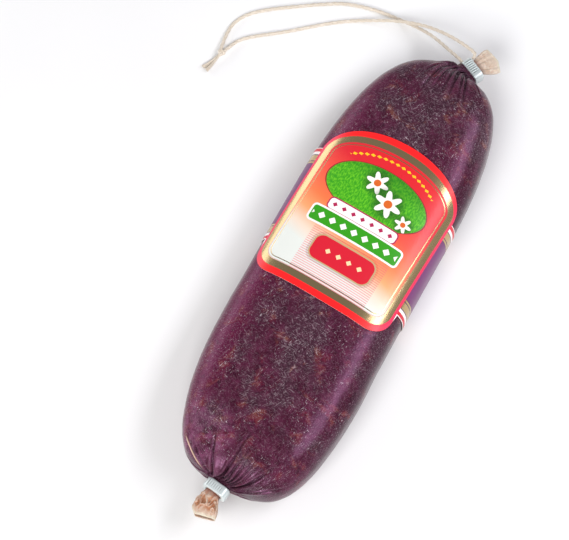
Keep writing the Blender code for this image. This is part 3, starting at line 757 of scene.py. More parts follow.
def twine_look(looks):
    """Undyed hemp yarn: matt, cream, with darker fibres between the paler ones."""
    made, tree, shader = surface("hemp_twine")
    where = in_millimetres(tree)
    base = layered(
        tree, looks.fibre,
        ("#b09c7e", patches(tree, where, 0.8, 0.5, 0.8), 0.4),  # darker fibres
        ("#ece3d6", patches(tree, where, 2.4, 0.5, 0.7), 0.5))  # bleached lengths
    fuzz = add(tree, "ShaderNodeTexNoise", {"Vector": where, "Scale": 1 / FIBRE_PITCH, "Detail": 4.0})
    feed(tree, shader, {"Base Color": base, "Roughness": 0.85, "Sheen Weight": 0.25,
                        "Normal": relief(tree, fuzz, 0.6, 0.12 * MM)})
    return made


def plain_result(source, tree, values, name):
    """What a node tree makes of an object, as a new object with a plain mesh."""
    modifier = source.modifiers.new("Build", "NODES")
    modifier.node_group = tree
    for item in tree.interface.items_tree:
        if item.name in values:
            modifier[item.identifier] = values[item.name]
    bpy.context.view_layer.update()
    graph = bpy.context.evaluated_depsgraph_get()
    mesh = bpy.data.meshes.new_from_object(source.evaluated_get(graph), depsgraph=graph)
    bpy.data.objects.remove(source)
    mesh.name = name
    return place(name, mesh)


def new_tree(name, **inputs):
    """An empty geometry tree with named inputs of given kinds. Returns it with its input and output nodes."""
    tree = bpy.data.node_groups.new(name, "GeometryNodeTree")
    tree.interface.new_socket("Geometry", in_out="INPUT", socket_type="NodeSocketGeometry")
    for label, kind in inputs.items():
        tree.interface.new_socket(label, in_out="INPUT", socket_type="NodeSocket" + kind)
    tree.interface.new_socket("Geometry", in_out="OUTPUT", socket_type="NodeSocketGeometry")
    return tree, tree.nodes.new("NodeGroupInput").outputs, tree.nodes.new("NodeGroupOutput")


def end_tree(tree, geometry, given, result):
    """The last steps of every tree: real geometry, smooth, with its material."""
    real = add(tree, "GeometryNodeRealizeInstances", {0: geometry})
    shaded = add(tree, "GeometryNodeSetShadeSmooth", {0: real})
    feed(tree, result, {0: add(tree, "GeometryNodeSetMaterial", {0: shaded, "Material": given["Material"]})})
    return tree


def scaled(tree, vector, scale):
    """A vector made longer or shorter."""
    return add(tree, "ShaderNodeVectorMath", {0: vector, "Scale": scale}, operation="SCALE")


def grain_tree():
    """Pushes a skin in and out in small bumps, where its own "free" number allows."""
    tree, given, result = new_tree("minced grain", Pitch="Float", Height="Float", Material="Material")
    cloud = number(tree, "ShaderNodeTexNoise", {"Scale": Number(tree, 1.0) / given["Pitch"], "Detail": 2.0})
    free = number(tree, "GeometryNodeInputNamedAttribute", {"Name": "free"}, data_type="FLOAT")
    push = scaled(tree, add(tree, "GeometryNodeInputNormal"), (cloud - 0.5) * 2.0 * given["Height"] * free)
    moved = add(tree, "GeometryNodeSetPosition", {0: given["Geometry"], "Offset": push})
    return end_tree(tree, moved, given, result)


def twine_tree():
    """Lays plies round a curve and twists them together."""
    tree, given, result = new_tree("twisted twine", Plies="Int", Lay="Float", Ply_radius="Float",
                                   Offset="Float", Step="Float", Sides="Int", Material="Material")
    even = add(tree, "GeometryNodeResampleCurve", {0: given["Geometry"], "Length": given["Step"]},
               mode="LENGTH")
    level = add(tree, "GeometryNodeSetCurveNormal", {0: even}, mode="MINIMUM_TWIST")
    walked = number(tree, "GeometryNodeSplineParameter", None, "Length")
    copies = add(tree, "GeometryNodeDuplicateElements", {0: level, "Amount": given["Plies"]}, domain="SPLINE")
    turns = walked / given["Lay"] + Number(tree, copies.outputs["Duplicate Index"]) / given["Plies"]
    angle = turns * (2 * math.pi)
    normal = add(tree, "GeometryNodeInputNormal")
    aside = add(tree, "ShaderNodeVectorMath", {0: add(tree, "GeometryNodeInputTangent"), 1: normal},
                operation="CROSS_PRODUCT")
    both = add(tree, "ShaderNodeVectorMath", {0: scaled(tree, normal, angle.by("COSINE")),
                                              1: scaled(tree, aside, angle.by("SINE"))}, operation="ADD")
    moved = add(tree, "GeometryNodeSetPosition", {0: copies.outputs["Geometry"],
                                                  "Offset": scaled(tree, both, given["Offset"])})
    ring = add(tree, "GeometryNodeCurvePrimitiveCircle", {"Resolution": given["Sides"],
                                                          "Radius": given["Ply_radius"]}, mode="RADIUS")
    swept = add(tree, "GeometryNodeCurveToMesh", {0: moved, "Profile Curve": ring, "Fill Caps": True})
    return end_tree(tree, swept, given, result)


def rib_tree():
    """Repeats one rib in a straight row, centred on the object."""
    tree, given, result = new_tree("row of ribs", Count="Int", Step="Vector", Material="Material")
    short = (Number(tree, given["Count"]) - 1.0) * -0.5
    start = scaled(tree, given["Step"], short)
    row = add(tree, "GeometryNodeMeshLine", {"Count": given["Count"], "Offset": given["Step"],
                                             "Start Location": start}, mode="OFFSET")
    ribs = add(tree, "GeometryNodeInstanceOnPoints", {0: row, "Instance": given["Geometry"]})
    return end_tree(tree, ribs, given, result)


class SAUSAGE_OT_casing(bpy.types.Operator):
    """Builds the filled casing with its pleated ends, down to the necks inside the clips"""

    bl_idname = "cured_sausage.casing"
    bl_label = "Build casing"

    def execute(self, context):
        looks = context.scene.sausage_casing
        section = even_section(SECTORS)
        fractions = np.arange(SECTORS) / SECTORS
        parts = []
        for end in (NEAR, FAR):
            from_end, from_neck = even_cap(end)
            points = gathered(end, cap_points(end, from_end, section), from_neck)
            pleats = pleat_relief(end, from_neck, cap_size(end, from_end)[0], ring_girths(points), fractions)
            neck = neck_points(end, section)
            inside = np.zeros((len(neck) - 1, SECTORS))
            points = np.concatenate([points, neck])
            fields = [np.concatenate([field, 0.8 * field[-1:], inside]) for field in pleats]
            if end is NEAR:
                points = points[::-1]
                fields = [field[::-1] for field in fields]
            parts.append((points, *fields))
        start, finish = NEAR.cap_length - NEAR.body_end, FAR.body_end - FAR.cap_length
        ys = np.linspace(start, finish, BARREL_RINGS + 2)[1:-1]
        wide, deep = body_size(ys)
        barrel = np.stack([bow(ys)[:, None] + np.outer(wide, section[0]),
                           np.repeat(ys[:, None], SECTORS, 1),
                           BODY_CENTRE_Z + np.outer(deep, section[1])], axis=-1)
        blank = np.zeros((BARREL_RINGS, SECTORS))
        parts.insert(1, (barrel, blank, blank, blank, blank))
        points, height, shade, ridge_highlight, edge = (np.concatenate(column) for column in zip(*parts))
        height = height + lump_relief(points)
        points = points + outward_normals(points) * height[..., None]
        points[..., 2] = np.maximum(points[..., 2], floor_under(points))
        mesh = closed_tube("sausage_skin", points)
        store(mesh, "crease", shade)
        store(mesh, "ridge_highlight", ridge_highlight)
        store(mesh, "bare", edge)
        off_floor = smooth((points[..., 2] - MM) / (3 * MM))
        in_open = smooth((np.abs(points[..., 1]) - FAR.body_end - MM) / -(4 * MM))
        store(mesh, "free", clear_of_label(points) * off_floor * in_open)
        skin = plain_result(place("sausage_skin", mesh), grain_tree(),
                            {"Pitch": looks.grain_pitch, "Height": looks.grain_height,
                             "Material": casing_look(looks)}, "sausage_skin")
        dress(skin, "casing", "sausage")
        return {"FINISHED"}


def gathered_section(end, count, draw):
    """A ring's points, and a wavy number round it for the folds it is gathered in."""
    turn = np.arange(count) / count
    wave = np.zeros(count)
    for harmonic, share in ((1.0, 0.6), (1.6, 0.5), (2.7, 0.25)):
        beats = round(end.tail_folds * harmonic)
        wave += share * np.sin(2 * np.pi * (beats * turn + draw.uniform()))
    return unit_section(2 * np.pi * turn), wave


def tail_grid(end, wall, rows=60, count=200):
    """The gathered skin from inside the clip out to the cut, over the rim and back inside."""
    draw = np.random.default_rng(end.seed + 20)
    (across, up), wave = gathered_section(end, count, draw)
    spot = end.neck_start() + end.heading(end.clip_yaw) * (end.neck_showing + CLIP_WIDTH - 0.7 * MM)
    step = (end.tail_length + 0.7 * MM) / rows
    rings, folds, outward, inner = [], [], [], []
    for row in range(rows + 1):
        part = row / rows
        yaw = end.clip_yaw + (end.tail_turn - end.clip_yaw) * float(smooth(part * 1.6))
        flare = float(smooth(part * 1.15)) ** 0.8
        wide = TAIL_START[0] + (end.tail_half_width - TAIL_START[0]) * flare
        deep = TAIL_START[1] + (end.tail_half_depth - TAIL_START[1]) * flare * (1 - end.flatten * part ** 3)
        middle = float(np.exp(-((part - 0.5) / 0.22) ** 2))
        rise = end.fold_height * (0.3 + 0.7 * smooth(part * 2.2)) * (1 - 0.8 * part ** 2)
        shape = np.stack([across * wide, up * deep], axis=1)
        normal = np.stack([across / wide, up / deep], axis=1)
        normal /= np.linalg.norm(normal, axis=1, keepdims=True)
        swirl = np.array([noise.noise(Vector((a * 3.4, b * 2.6, part * 4.6 + end.seed)))
                          for a, b in zip(across, up)])
        creased = 1 - np.minimum(1, np.abs(swirl) * 3.5)
        upper = smooth(up * 1.6) * middle
        height = rise * wave * 0.5 + end.crumple * (creased - 0.75) * (upper + 0.12)
        shape = shape + normal * height[:, None]
        setback = end.tail_cut(across) * part ** 2
        rings.append(spot + np.outer(shape[:, 0], end.across(yaw)) + np.outer(shape[:, 1], [0, 0, 1])
                     - np.outer(setback, end.heading(yaw)))
        gathers = np.clip(0.4 - wave * 0.8, 0, 1) * (1 - 0.7 * part)
        # partly painted shade: more fold colour where the gathers sink in, less on raised crumples
        folds.append(np.clip(0.42 + gathers * 0.45 + upper * (1.1 - 1.5 * creased), 0, 1) * end.fold_darkening)
        outward.append(np.full(count, part))
        inner.append(np.array([1 - wall / wide, 1 - wall / wide, max(0.2, 1 - wall / deep)]))
        spot = spot + end.heading(yaw) * step
    for row in range(rows, int(rows * 0.35), -2):
        middle = rings[row].mean(axis=0)
        rings.append(middle + (rings[row] - middle) * inner[row])
        folds.append(folds[row])
        outward.append(outward[row] * 0.9)
    return np.array(rings), np.array(folds), np.array(outward)


class SAUSAGE_OT_tails(bpy.types.Operator):
    """Builds the gathered casing that was cut off beyond each clip"""

    bl_idname = "cured_sausage.tails"
    bl_label = "Build tails"

    def execute(self, context):
        looks = context.scene.sausage_tails
        skin = tail_look(looks)
        for name, end in (("near_tail", NEAR), ("far_tail", FAR)):
            points, folds, outward = tail_grid(end, looks.wall)
            if end is NEAR:
                points, folds, outward = points[:, ::-1], folds[:, ::-1], outward[:, ::-1]
            mesh = closed_tube(name, points)
            store(mesh, "fold", folds)
            store(mesh, "outward", outward)
            dress(place(name, mesh, skin), "casing", "sausage")
        return {"FINISHED"}


def clip_loop(grow, steps=12):
    """The clip's outline seen along the neck, a rounded box drawn in by a length, with a seam below."""
    half_length, half_height = CLIP_HALF_LENGTH - grow, CLIP_HALF_HEIGHT - grow
    corner = CLIP_CORNER - grow
    flat, wall = half_length - corner, half_height - corner
    outline = []
    for quarter, (x, z) in enumerate(((flat, wall), (-flat, wall), (-flat, -wall), (flat, -wall))):
        for step in range(steps + 1):
            angle = math.pi / 2 * (quarter + step / steps)
            outline.append((x + corner * math.cos(angle), z + corner * math.sin(angle)))
        if quarter == 2:
            outline += [(across * MM, -half_height + sunk * MM) for across, sunk in CLIP_SEAM]
        else:
            for part in (0.6, 0.2, -0.2, -0.6):
                level = (x * part, z + math.copysign(corner, z))
                upright = (x + math.copysign(corner, x), z * part)
                outline.append(upright if quarter % 2 else level)
    return outline


def clip_mesh(name, end):
    """The clip: a strip of metal squeezed into a ring round the neck, its edges rolled over."""
    half = CLIP_WIDTH / 2
    outline = clip_loop(0.0)
    hole = []
    for x, z in outline:
        across, up = unit_section(math.atan2(z / CLIP_HALF_HEIGHT, x / CLIP_HALF_LENGTH))
        hole.append((across * (NECK_HALF_WIDTH + CLIP_GAP), up * (NECK_HALF_DEPTH + CLIP_GAP)))
    rolled = [math.pi / 2 * i / 5 for i in range(6)]
    loops = [(hole, -half)]
    for side, turns in ((-1, rolled), (1, rolled[::-1])):
        loops += [(clip_loop(CLIP_EDGE * (1 - math.sin(a))), side * (half - CLIP_EDGE * (1 - math.cos(a))))
                  for a in turns]
    loops.append((hole, half))
    points = np.array([[(x, y, z) for x, z in profile] for profile, y in loops])
    points = points.reshape(-1, 3) @ end.axes() + end.clip_centre()
    count = len(outline)
    faces = grid_faces(len(loops), count).tolist()
    last = (len(loops) - 1) * count
    for j in range(count):
        k = (j + 1) % count
        faces.append((last + j, j, k, last + k))
    return smooth_mesh(name, points, faces, sharp_from=50)


def one_rib(end, height, radius):
    """A low bar with rounded ends, half sunk in the clip's top, on the clip's own axes."""
    length, sides, rows = CLIP_WIDTH / 2 - 0.2 * MM, 10, 9
    turn = np.arange(sides) / sides * 2 * np.pi
    rings = []
    for row in range(rows):
        along = -1 + 2 * row / (rows - 1)
        thick = radius * (1 - abs(along) ** 4) ** 0.5 * 0.999 + 0.001 * MM
        rings.append(np.stack([thick * np.cos(turn), np.full(sides, along * length),
                               height - radius + thick * np.sin(turn)], axis=1))
    return np.array(rings) @ end.axes()


class SAUSAGE_OT_clips(bpy.types.Operator):
    """Builds both metal clips, and the fine ribs on their fronts"""

    bl_idname = "cured_sausage.clips"
    bl_label = "Build clips"

    def execute(self, context):
        looks = context.scene.sausage_clips
        metal = clip_look("pressed_aluminium", looks.metal)
        # painted shade: a darker copy of the metal for the bars between the ribs
        groove_shade_look = clip_look("aluminium_groove_shade", tuple(c * 0.42 for c in looks.metal))
        tree = rib_tree()
        for name, end, share in (("clip_near", NEAR, NEAR_RIB_SHARE), ("clip_far", FAR, 1.0)):
            body = place(name + "_strip", clip_mesh(name + "_strip", end), metal)
            dress(body, "clip_metal", name)
            rows = (("_ribs", looks.rib_height * share, RIB_RADIUS, looks.rib_count, metal),
                    ("_groove_shade", GROOVE_SHOWING * share, GROOVE_RADIUS, looks.rib_count + 1, groove_shade_look))
            for tag, height, radius, count, look in rows:
                bar = place(name + tag, closed_tube(name + tag, one_rib(end, height, radius)))
                step = Vector(end.across(end.clip_yaw)) * looks.rib_pitch
                row = plain_result(bar, tree, {"Count": count, "Step": step, "Material": look}, name + tag)
                top = np.array([RIB_SHIFT, 0, CLIP_HALF_HEIGHT]) @ end.axes() + end.clip_centre()
                row.data.transform(Matrix.Translation(top))
                dress(row, "clip_metal")
        return {"FINISHED"}


def panel_distance(u, v, side, end):
    """How far inside the panel's outline each place lies, once its sides and ends are drawn in."""
    half = PANEL_HALF_ARC - side
    rise = ARCH_RISE - end
    corner = PANEL_CORNER - end * 0.5
    upward = np.maximum(v - BAND_FAR, 0)
    reach = np.sqrt((u / half) ** 2 + (upward / rise) ** 2) + 1e-9
    slope = np.sqrt((u / half ** 2) ** 2 + (upward / rise ** 2) ** 2) / reach + 1e-9
    arch = (1 - reach) / slope
    into_u = np.abs(u) - (half - corner)
    into_v = (PANEL_NEAR + end + corner) - v
    at_corner = (into_u > 0) & (into_v > 0)
    lower = corner - np.where(at_corner, np.hypot(into_u, into_v), np.maximum(into_u, into_v))
    return np.where(v > BAND_FAR, arch, lower)


def label_reach(arc):
    """The label's near and far edge at places round the girth."""
    into_corner = np.maximum(0.0, np.abs(arc) - (PANEL_HALF_ARC - PANEL_CORNER))
    near = PANEL_NEAR + PANEL_CORNER - np.sqrt(np.maximum(0.0, PANEL_CORNER ** 2 - into_corner ** 2))
    far = BAND_FAR + ARCH_RISE * np.sqrt(np.maximum(0.0, 1 - (arc / PANEL_HALF_ARC) ** 2))
    outside = np.abs(arc) > PANEL_HALF_ARC
    return np.where(outside, BAND_NEAR, near), np.where(outside, BAND_FAR, far)


def label_points(arc, along, lift):
    """Points this far off the casing, at places round and along the label."""
    angles, walked = section_table(BODY_HALF_WIDTH, BODY_HALF_DEPTH)
    top = walked[len(walked) // 4]
    turned = arc + PANEL_SHIFT + (along - PANEL_NEAR) * LABEL_LEAN
    y = along
    for _ in range(3):
        wide, deep = body_size(y)
        shrink = (BODY_HALF_WIDTH + BODY_HALF_DEPTH) / (wide + deep)
        across, up = unit_section(np.interp((top - turned * shrink) % walked[-1], walked, angles))
        x = bow(y) + across * (wide + lift)
        y = along - x * LABEL_SKEW
    lowest = np.maximum(LABEL_THICKNESS - lift + PAPER_GAP, 0.02 * MM)
    return np.stack([x, y, np.maximum(BODY_CENTRE_Z + up * (deep + lift), lowest)], axis=-1)


def stripes(tree, place_mm, stops, reach, blend="CONSTANT"):
    """Colours by place: each stop is a place in millimetres and the colour that starts, or peaks, there."""
    low, high = reach
    share = add(tree, "ShaderNodeMapRange", {0: place_mm, 1: low, 2: high})
    ramp = add(tree, "ShaderNodeValToRGB", {0: share})
    ramp.color_ramp.interpolation = blend
    elements = ramp.color_ramp.elements
    while len(elements) < len(stops):
        elements.new(0.5)
    for element, (spot, tint) in zip(elements, stops):
        element.position = min(max((spot - low) / (high - low), 0.0), 1.0)
        element.color = (*(linear(tint) if isinstance(tint, str) else tint), 1.0)
    return ramp


def within(value, low, high):
    """1 where a value lies between two others."""
    return (value > low) * (value < high)


def distance(u, v):
    """How long the way is that goes this far along each axis."""
    return (u * u + v * v).by("SQRT")


def from_box(u, v, middle, half, corner):
    """Distance outside a round-cornered box, negative inside."""
    over_u = abs(u - middle[0]) - (half[0] - corner)
    over_v = abs(v - middle[1]) - (half[1] - corner)
    return distance(over_u | 0.0, over_v | 0.0) + (over_u | over_v).by("MINIMUM", 0.0) - corner


def oval_reach(u, v, middle, half):
    """Distance from an oval's middle as a share of its own half sizes."""
    return distance((u - middle[0]) / half[0], (v - middle[1]) / half[1])


def lozenges(u, v, row, pitch, half, reach):
    """A row of upright lozenges along U: the row's V, their pitch, their half size and where the row ends."""
    return (u.by("PINGPONG", pitch / 2) + abs(v - row) < half) * within(u, *reach)


def blossom(u, v, middle, radius, turned):
    """A six-petalled flower: its soft shadow, its petals and its heart, each 1 inside."""
    du, dv = u - middle[0], v - middle[1]
    away = distance(du, dv)
    wave = (dv.by("ARCTAN2", du) * 6.0 + turned).by("COSINE")
    shadow = number(u.tree, "ShaderNodeMapRange", {0: away, 1: radius * 1.35, 2: radius * 0.8})
    return shadow, away < (wave * 0.26 + 0.74) * radius, away < radius * 0.3


def meadow(tree, uv, u, v, looks):
    """The oval's green field with its flowers."""
    stretched = add(tree, "ShaderNodeVectorMath", {0: uv, 1: GRASS_BLADES}, operation="MULTIPLY")
    blades = add(tree, "ShaderNodeTexNoise", {"Vector": stretched, "Scale": 1.0, "Detail": 5.0})
    grass = layered(
        tree, looks.green,
        ("#67c41c", add(tree, "ShaderNodeMapRange", {0: blades, 1: 0.42, 2: 0.62})),
        ("#146208", add(tree, "ShaderNodeMapRange", {0: v + u * 0.08, 1: 55.6, 2: 64.6, 4: 0.6})))
    for flower in FLOWERS:
        shadow, petals, heart = blossom(u, v, *flower)
        grass = layered(tree, grass, ("#0d4a08", shadow, 0.7), ("#f6f2ea", petals), ("#d9641c", heart))
    return grass


def label_look(looks):
    """Offset-printed paper with gold foil lines under a thin gloss varnish: clean edges, soft highlights."""
    made, tree, shader = surface("varnished_label_paper")
    uv = add(tree, "ShaderNodeUVMap", uv_map="print")
    split = add(tree, "ShaderNodeSeparateXYZ", {0: uv})
    u, v = (Number(tree, split.outputs[axis]) * UV_MM for axis in "XY")
    edge, inset, band = (kept * (1 / MM) for kept in stored(tree, "edge", "inset", "band"))
    white, crimson, plum, dark_foil = "#fbf3f0", "#b01850", "#4a1c4e", "#5a3f22"

    field = stripes(tree, v + u * 0.28, (
        (-2, looks.cream), (14, looks.cream), (20, "#f2d9c4"), (27, "#ffa56c"), (35, looks.orange),
        (46, "#f4503c"), (58, looks.field), (77, "#df1a22")), (-2, 78), "LINEAR")
    oval = oval_reach(u, v, *OVAL)
    ribbon, sash, plaque = (from_box(u, v, *box) for box in (RIBBON, SASH, PLAQUE))
    arch = oval_reach(u, v, *STUD_ARCH)
    (arch_u, arch_v), (arch_wide, arch_high) = STUD_ARCH
    turn = ((v - arch_v) / arch_high).by("ARCTAN2", (u - arch_u) / arch_wide)
    stud = abs((arch - 1.0) * 11.0) + (turn * 9.5).by("PINGPONG", 0.5) < 0.42
    foil, thin = within(inset, 0.0, 3.1), within(inset, 4.25, 4.65)
    # painted sheen: the outer border turns paler pink where it curves over the sides
    painted_side_sheen = add(tree, "ShaderNodeMapRange", {0: abs(u), 1: 26.0, 2: 32.5})
    outer = layered(tree, looks.red, ("#f0305a", painted_side_sheen))
    sides = stripes(tree, band, (
        (0.0, white), (0.3, "#d81b30"), (1.9, white), (3.3, plum), (3.7, looks.foil), (6.6, plum),
        (7.0, looks.foil), (7.9, plum), (8.2, looks.purple)), (0, 12))
    off_panel = edge < 0.0
    base = layered(
        tree, field,
        ("#ec5a72", v.by("FRACT") < 0.40, from_box(u, v, *RULED_BLOCK) < 0.0, 0.62),  # fine ruled lines
        (meadow(tree, uv, u, v, looks), oval < 1.0),
        ("#8c1420", within(oval, 1.0, 1.025)),
        (crimson, ribbon < 0.6), (white, ribbon < 0.0), (white, sash < 0.9), (looks.green, sash < 0.0),
        (crimson, lozenges(u, v, 40.0, 4.4, 1.15, (-15.0, 15.0))),
        (white, lozenges(u, v, 33.0, 5.2, 1.7, (-20.0, 20.5))),
        (dark_foil, within(plaque, 0.0, 1.6), 0.25), (looks.foil, within(plaque, 0.0, 0.6)),
        ("#d5122c", plaque < 0.0),
        ("#f6d9a8", lozenges(u, v, 20.2, 5.0, 1.3, (-8.5, 12.0))),
        (looks.yellow, stud, within(turn, 0.75, 2.4)),
        ("#c8283c", within(inset, 2.9, 3.5), 0.45),
        (looks.foil, foil | thin), (outer, inset < 0.0), (sides, off_panel))
    shine = (foil | thin) * (edge > 0.0) | (within(band, 3.7, 6.6) | within(band, 7.0, 7.9)) * off_panel
    fibres = add(tree, "ShaderNodeTexNoise", {"Vector": in_millimetres(tree), "Scale": 1 / 6, "Detail": 3.0})
    feed(tree, shader, {
        "Base Color": base, "Metallic": shine * 0.9, "Coat Weight": 0.2, "Coat Roughness": 0.18,
        "Roughness": add(tree, "ShaderNodeMapRange", {0: shine, 3: 0.42, 4: 0.24}),
        "Normal": relief(tree, fibres, 0.25, 0.3 * MM)})
    return made


def paper_look():
    """The uncoated white core and back of the label paper: matt, faintly fibrous."""
    made, tree, shader = surface("uncoated_paper")
    fibrous = ("#e4dad0", patches(tree, in_millimetres(tree), 0.7, 0.4, 0.7))
    feed(tree, shader, {"Base Color": layered(tree, linear("#f6efe8"), fibrous), "Roughness": 0.85})
    return made


class SAUSAGE_OT_label(bpy.types.Operator):
    """Builds the printed paper label: a band right round, with an arched panel on the upper face"""

    bl_idname = "cured_sausage.label"
    bl_label = "Build label"

    def execute(self, context):
        angles = np.linspace(-math.pi / 2, math.pi / 2, PANEL_COLUMNS + 1)
        girth = section_table(BODY_HALF_WIDTH, BODY_HALF_DEPTH)[1][-1]
        side = PANEL_HALF_ARC + PANEL_STEP
        arcs = np.concatenate([PANEL_HALF_ARC * np.sin(angles),
                               np.linspace(side, girth - side, BAND_COLUMNS)])
        near, far = label_reach(arcs)
        share = np.linspace(0, 1, LABEL_ROWS + 1)[:, None]
        along = near + (far - near) * share
        arc = np.broadcast_to(arcs, along.shape)
        edge = panel_distance(arc, along, 0.0, 0.0)
        band = np.minimum(along - BAND_NEAR, BAND_FAR - along)
        rim = np.minimum(along - near, far - along)
        wavy = 0.6 + 0.4 * np.sin(arc / (7 * MM)) * np.cos(arc / (3.1 * MM))
        curl = CURL * (1 - smooth(rim / (3 * MM))) * wavy
        layers = [label_points(arc, along, lift + curl) for lift in (PAPER_GAP, PAPER_GAP + PAPER_THICKNESS)]
        points = np.concatenate(layers).reshape(-1, 3)
        rows, columns = along.shape
        count = rows * columns
        inner = grid_faces(rows, columns)
        faces = (inner + count)[:, ::-1].tolist()
        printed = len(faces)
        faces += inner.tolist()
        last = count - columns
        for j in range(columns):
            k = (j + 1) % columns
            faces.append((j, k, count + k, count + j))
            faces.append((last + k, last + j, count + last + j, count + last + k))
        mesh = smooth_mesh("label_paper", points, faces, sharp_from=50)
        inset = panel_distance(arc, along, *PANEL_INSET)
        for name, values in (("edge", edge), ("inset", inset), ("band", band)):
            store(mesh, name, np.concatenate([values, values]))
        print_map = mesh.uv_layers.new(name="print")
        flat = np.stack([arc, along - PANEL_NEAR], axis=-1).reshape(-1, 2) / (UV_MM * MM)
        corners = np.empty(len(mesh.loops), np.int32)
        mesh.loops.foreach_get("vertex_index", corners)
        print_map.data.foreach_set("uv", flat[corners % count].reshape(-1).astype(np.float32))
        label = place("label_paper", mesh, label_look(context.scene.sausage_label), paper_look())
        indices = np.ones(len(mesh.polygons), np.int32)
        indices[:printed] = 0
        mesh.polygons.foreach_set("material_index", indices)
        dress(label, "label_paper", "label")
        return {"FINISHED"}


def smooth_route(route, step):
    """Points at even steps along a smooth curve through the route's own points, which are in millimetres."""
    knots = [Vector(p) * MM for p in route]
    fine = []
    for i in range(len(knots) - 1):
        a, b = knots[max(i - 1, 0)], knots[i]
        c, d = knots[i + 1], knots[min(i + 2, len(knots) - 1)]
        for t in np.linspace(0, 1, 24, endpoint=False).tolist():
            fine.append(0.5 * ((2 * b) + (c - a) * t + (2 * a - 5 * b + 4 * c - d) * t ** 2
                               + (3 * b - a - 3 * c + d) * t ** 3))
    fine.append(knots[-1])
    fine = np.array(fine)
    walked = np.concatenate([[0], np.cumsum(np.linalg.norm(np.diff(fine, axis=0), axis=1))])
    even = np.linspace(0, walked[-1], max(2, round(walked[-1] / step)) + 1)
    return np.stack([np.interp(even, walked, fine[:, k]) for k in range(3)], axis=1)


def line_object(name, lines):
    """A curve object of straight-sided splines through lists of points."""
    curve = bpy.data.curves.new(name, "CURVE")
    curve.dimensions = "3D"
    for points in lines:
        spline = curve.splines.new("POLY")
        spline.points.add(len(points) - 1)
        for point, spot in zip(spline.points, points):
            point.co = (*spot, 1.0)
    return place(name, curve)


def knot_lines():
    """The knotted part: an overhand turn of twine about the knot's middle."""
    centre = np.array(KNOT_CENTRE) * MM
    turn = np.linspace(0, 2 * np.pi, 90)
    loop = np.stack([(np.sin(turn) + 2 * np.sin(2 * turn)) * 0.40,
                     (np.cos(turn) - 2 * np.cos(2 * turn)) * 0.42, -np.sin(3 * turn) * 0.45], axis=1) * MM
    return [centre + loop]


def cut_end_lines(draw):
    """The fibres of both cut ends, which lie together behind the knot and splay out in two bundles."""
    tail = smooth_route(KNOT_TAIL, 0.5 * MM)
    away = Vector(tail[-1] - tail[0]).normalized()
    over = np.array([away.y, -away.x, 0.0])
    lines = []
    for bundle in (-1, 1):
        for _ in range(LOOSE_FIBRES):
            offset = draw.normal(0, 0.22, 2) * MM
            reach = 1.0 - 0.10 * draw.uniform()
            line = []
            for i, spot in enumerate(tail[:max(4, int(len(tail) * reach))]):
                part = i / (len(tail) - 1)
                spread = bundle * (0.35 + 1.0 * part ** 2) * MM + offset[0] * (0.6 + 1.4 * part)
                point = spot + over * spread
                point[2] = max(spot[2] + offset[1] * (1 + part), 0.15 * MM)
                line.append(point)
            lines.append(line)
    return lines


class SAUSAGE_OT_twine(bpy.types.Operator):
    """Builds the loop of twine: two strands from the far clip, the knot and its cut ends"""

    bl_idname = "cured_sausage.twine"
    bl_label = "Build twine"

    def execute(self, context):
        looks = context.scene.sausage_twine
        fibre = twine_look(looks)
        tree = twine_tree()
        twist = {"Plies": looks.plies, "Lay": looks.lay, "Ply_radius": 0.42 * MM, "Offset": 0.35 * MM,
                 "Step": 0.6 * MM, "Sides": 10, "Material": fibre}
        thin = dict(twist, Ply_radius=0.36 * MM, Offset=0.28 * MM, Step=0.25 * MM, Lay=5 * MM)
        hair = dict(twist, Plies=1, Ply_radius=0.11 * MM, Offset=0.0, Sides=5, Step=0.8 * MM)
        knot = plain_result(line_object("twine_knot", knot_lines()), tree, thin, "twine_knot")
        fibres = cut_end_lines(np.random.default_rng(5))
        ends = plain_result(line_object("twine_cut_ends", fibres), tree, hair, "twine_cut_ends")
        dress(knot, "twine", "string_knot")
        dress(ends, "twine", "string_knot")
        for name, route, held in (("string_a", STRAND_A, [knot, ends]), ("string_b", STRAND_B, [])):
            path = smooth_route((*route, INTO_KNOT[name]), 1.0 * MM)
            strand = plain_result(line_object("twine_" + name[-1], [path]), tree, twist, "twine_" + name[-1])
            dress(strand, "twine", name)
        return {"FINISHED"}


def turned_to(across, away):
    """The turn of a camera or lamp whose right lies across and whose back faces away."""
    return Matrix((across, away.cross(across), away)).transposed().to_euler()


def set_camera(scene, looks):
    """Looks down on the sausage from its near end, a little from the right."""
    a, e = looks.azimuth, looks.elevation
    back = Vector((math.sin(a) * math.cos(e), -math.cos(a) * math.cos(e), math.sin(e)))
    right = Vector((math.cos(a), math.sin(a), 0))
    up = back.cross(right)
    middle = Vector(CAMERA_PIVOT) * MM
    target = middle + (right * PICTURE_SHIFT[0] + up * PICTURE_SHIFT[1]) * MM
    lens = bpy.data.cameras.new("camera")
    lens.lens, lens.sensor_width = FOCAL_LENGTH, SENSOR_WIDTH
    lens.clip_start, lens.clip_end = 0.05, 20.0
    camera = bpy.data.objects.new("camera", lens)
    scene.collection.objects.link(camera)
    camera.location = middle + back * looks.distance
    forward = (target - camera.location).normalized()
    camera.rotation_euler = turned_to(forward.cross(up).normalized(), -forward)
    scene.camera = camera
    scene.view_settings.view_transform = "Standard"


def lay_floor(looks):
    """A plain board, painted pale: matt, with broad faint clouds in the paint."""
    half = FLOOR_WIDTH / 2
    floor = bpy.data.meshes.new("floor")
    corners = [(-half, -half, 0), (half, -half, 0), (half, half, 0), (-half, half, 0)]
    floor.from_pydata(corners, [], [(0, 1, 2, 3)])
    made, tree, shader = surface("painted_board")
    cloudy = ("#ecebea", patches(tree, in_millimetres(tree), 300, 0.3, 0.7))
    feed(tree, shader, {"Base Color": layered(tree, looks.floor, cloudy), "Roughness": 0.9})
    place("floor", floor, made)


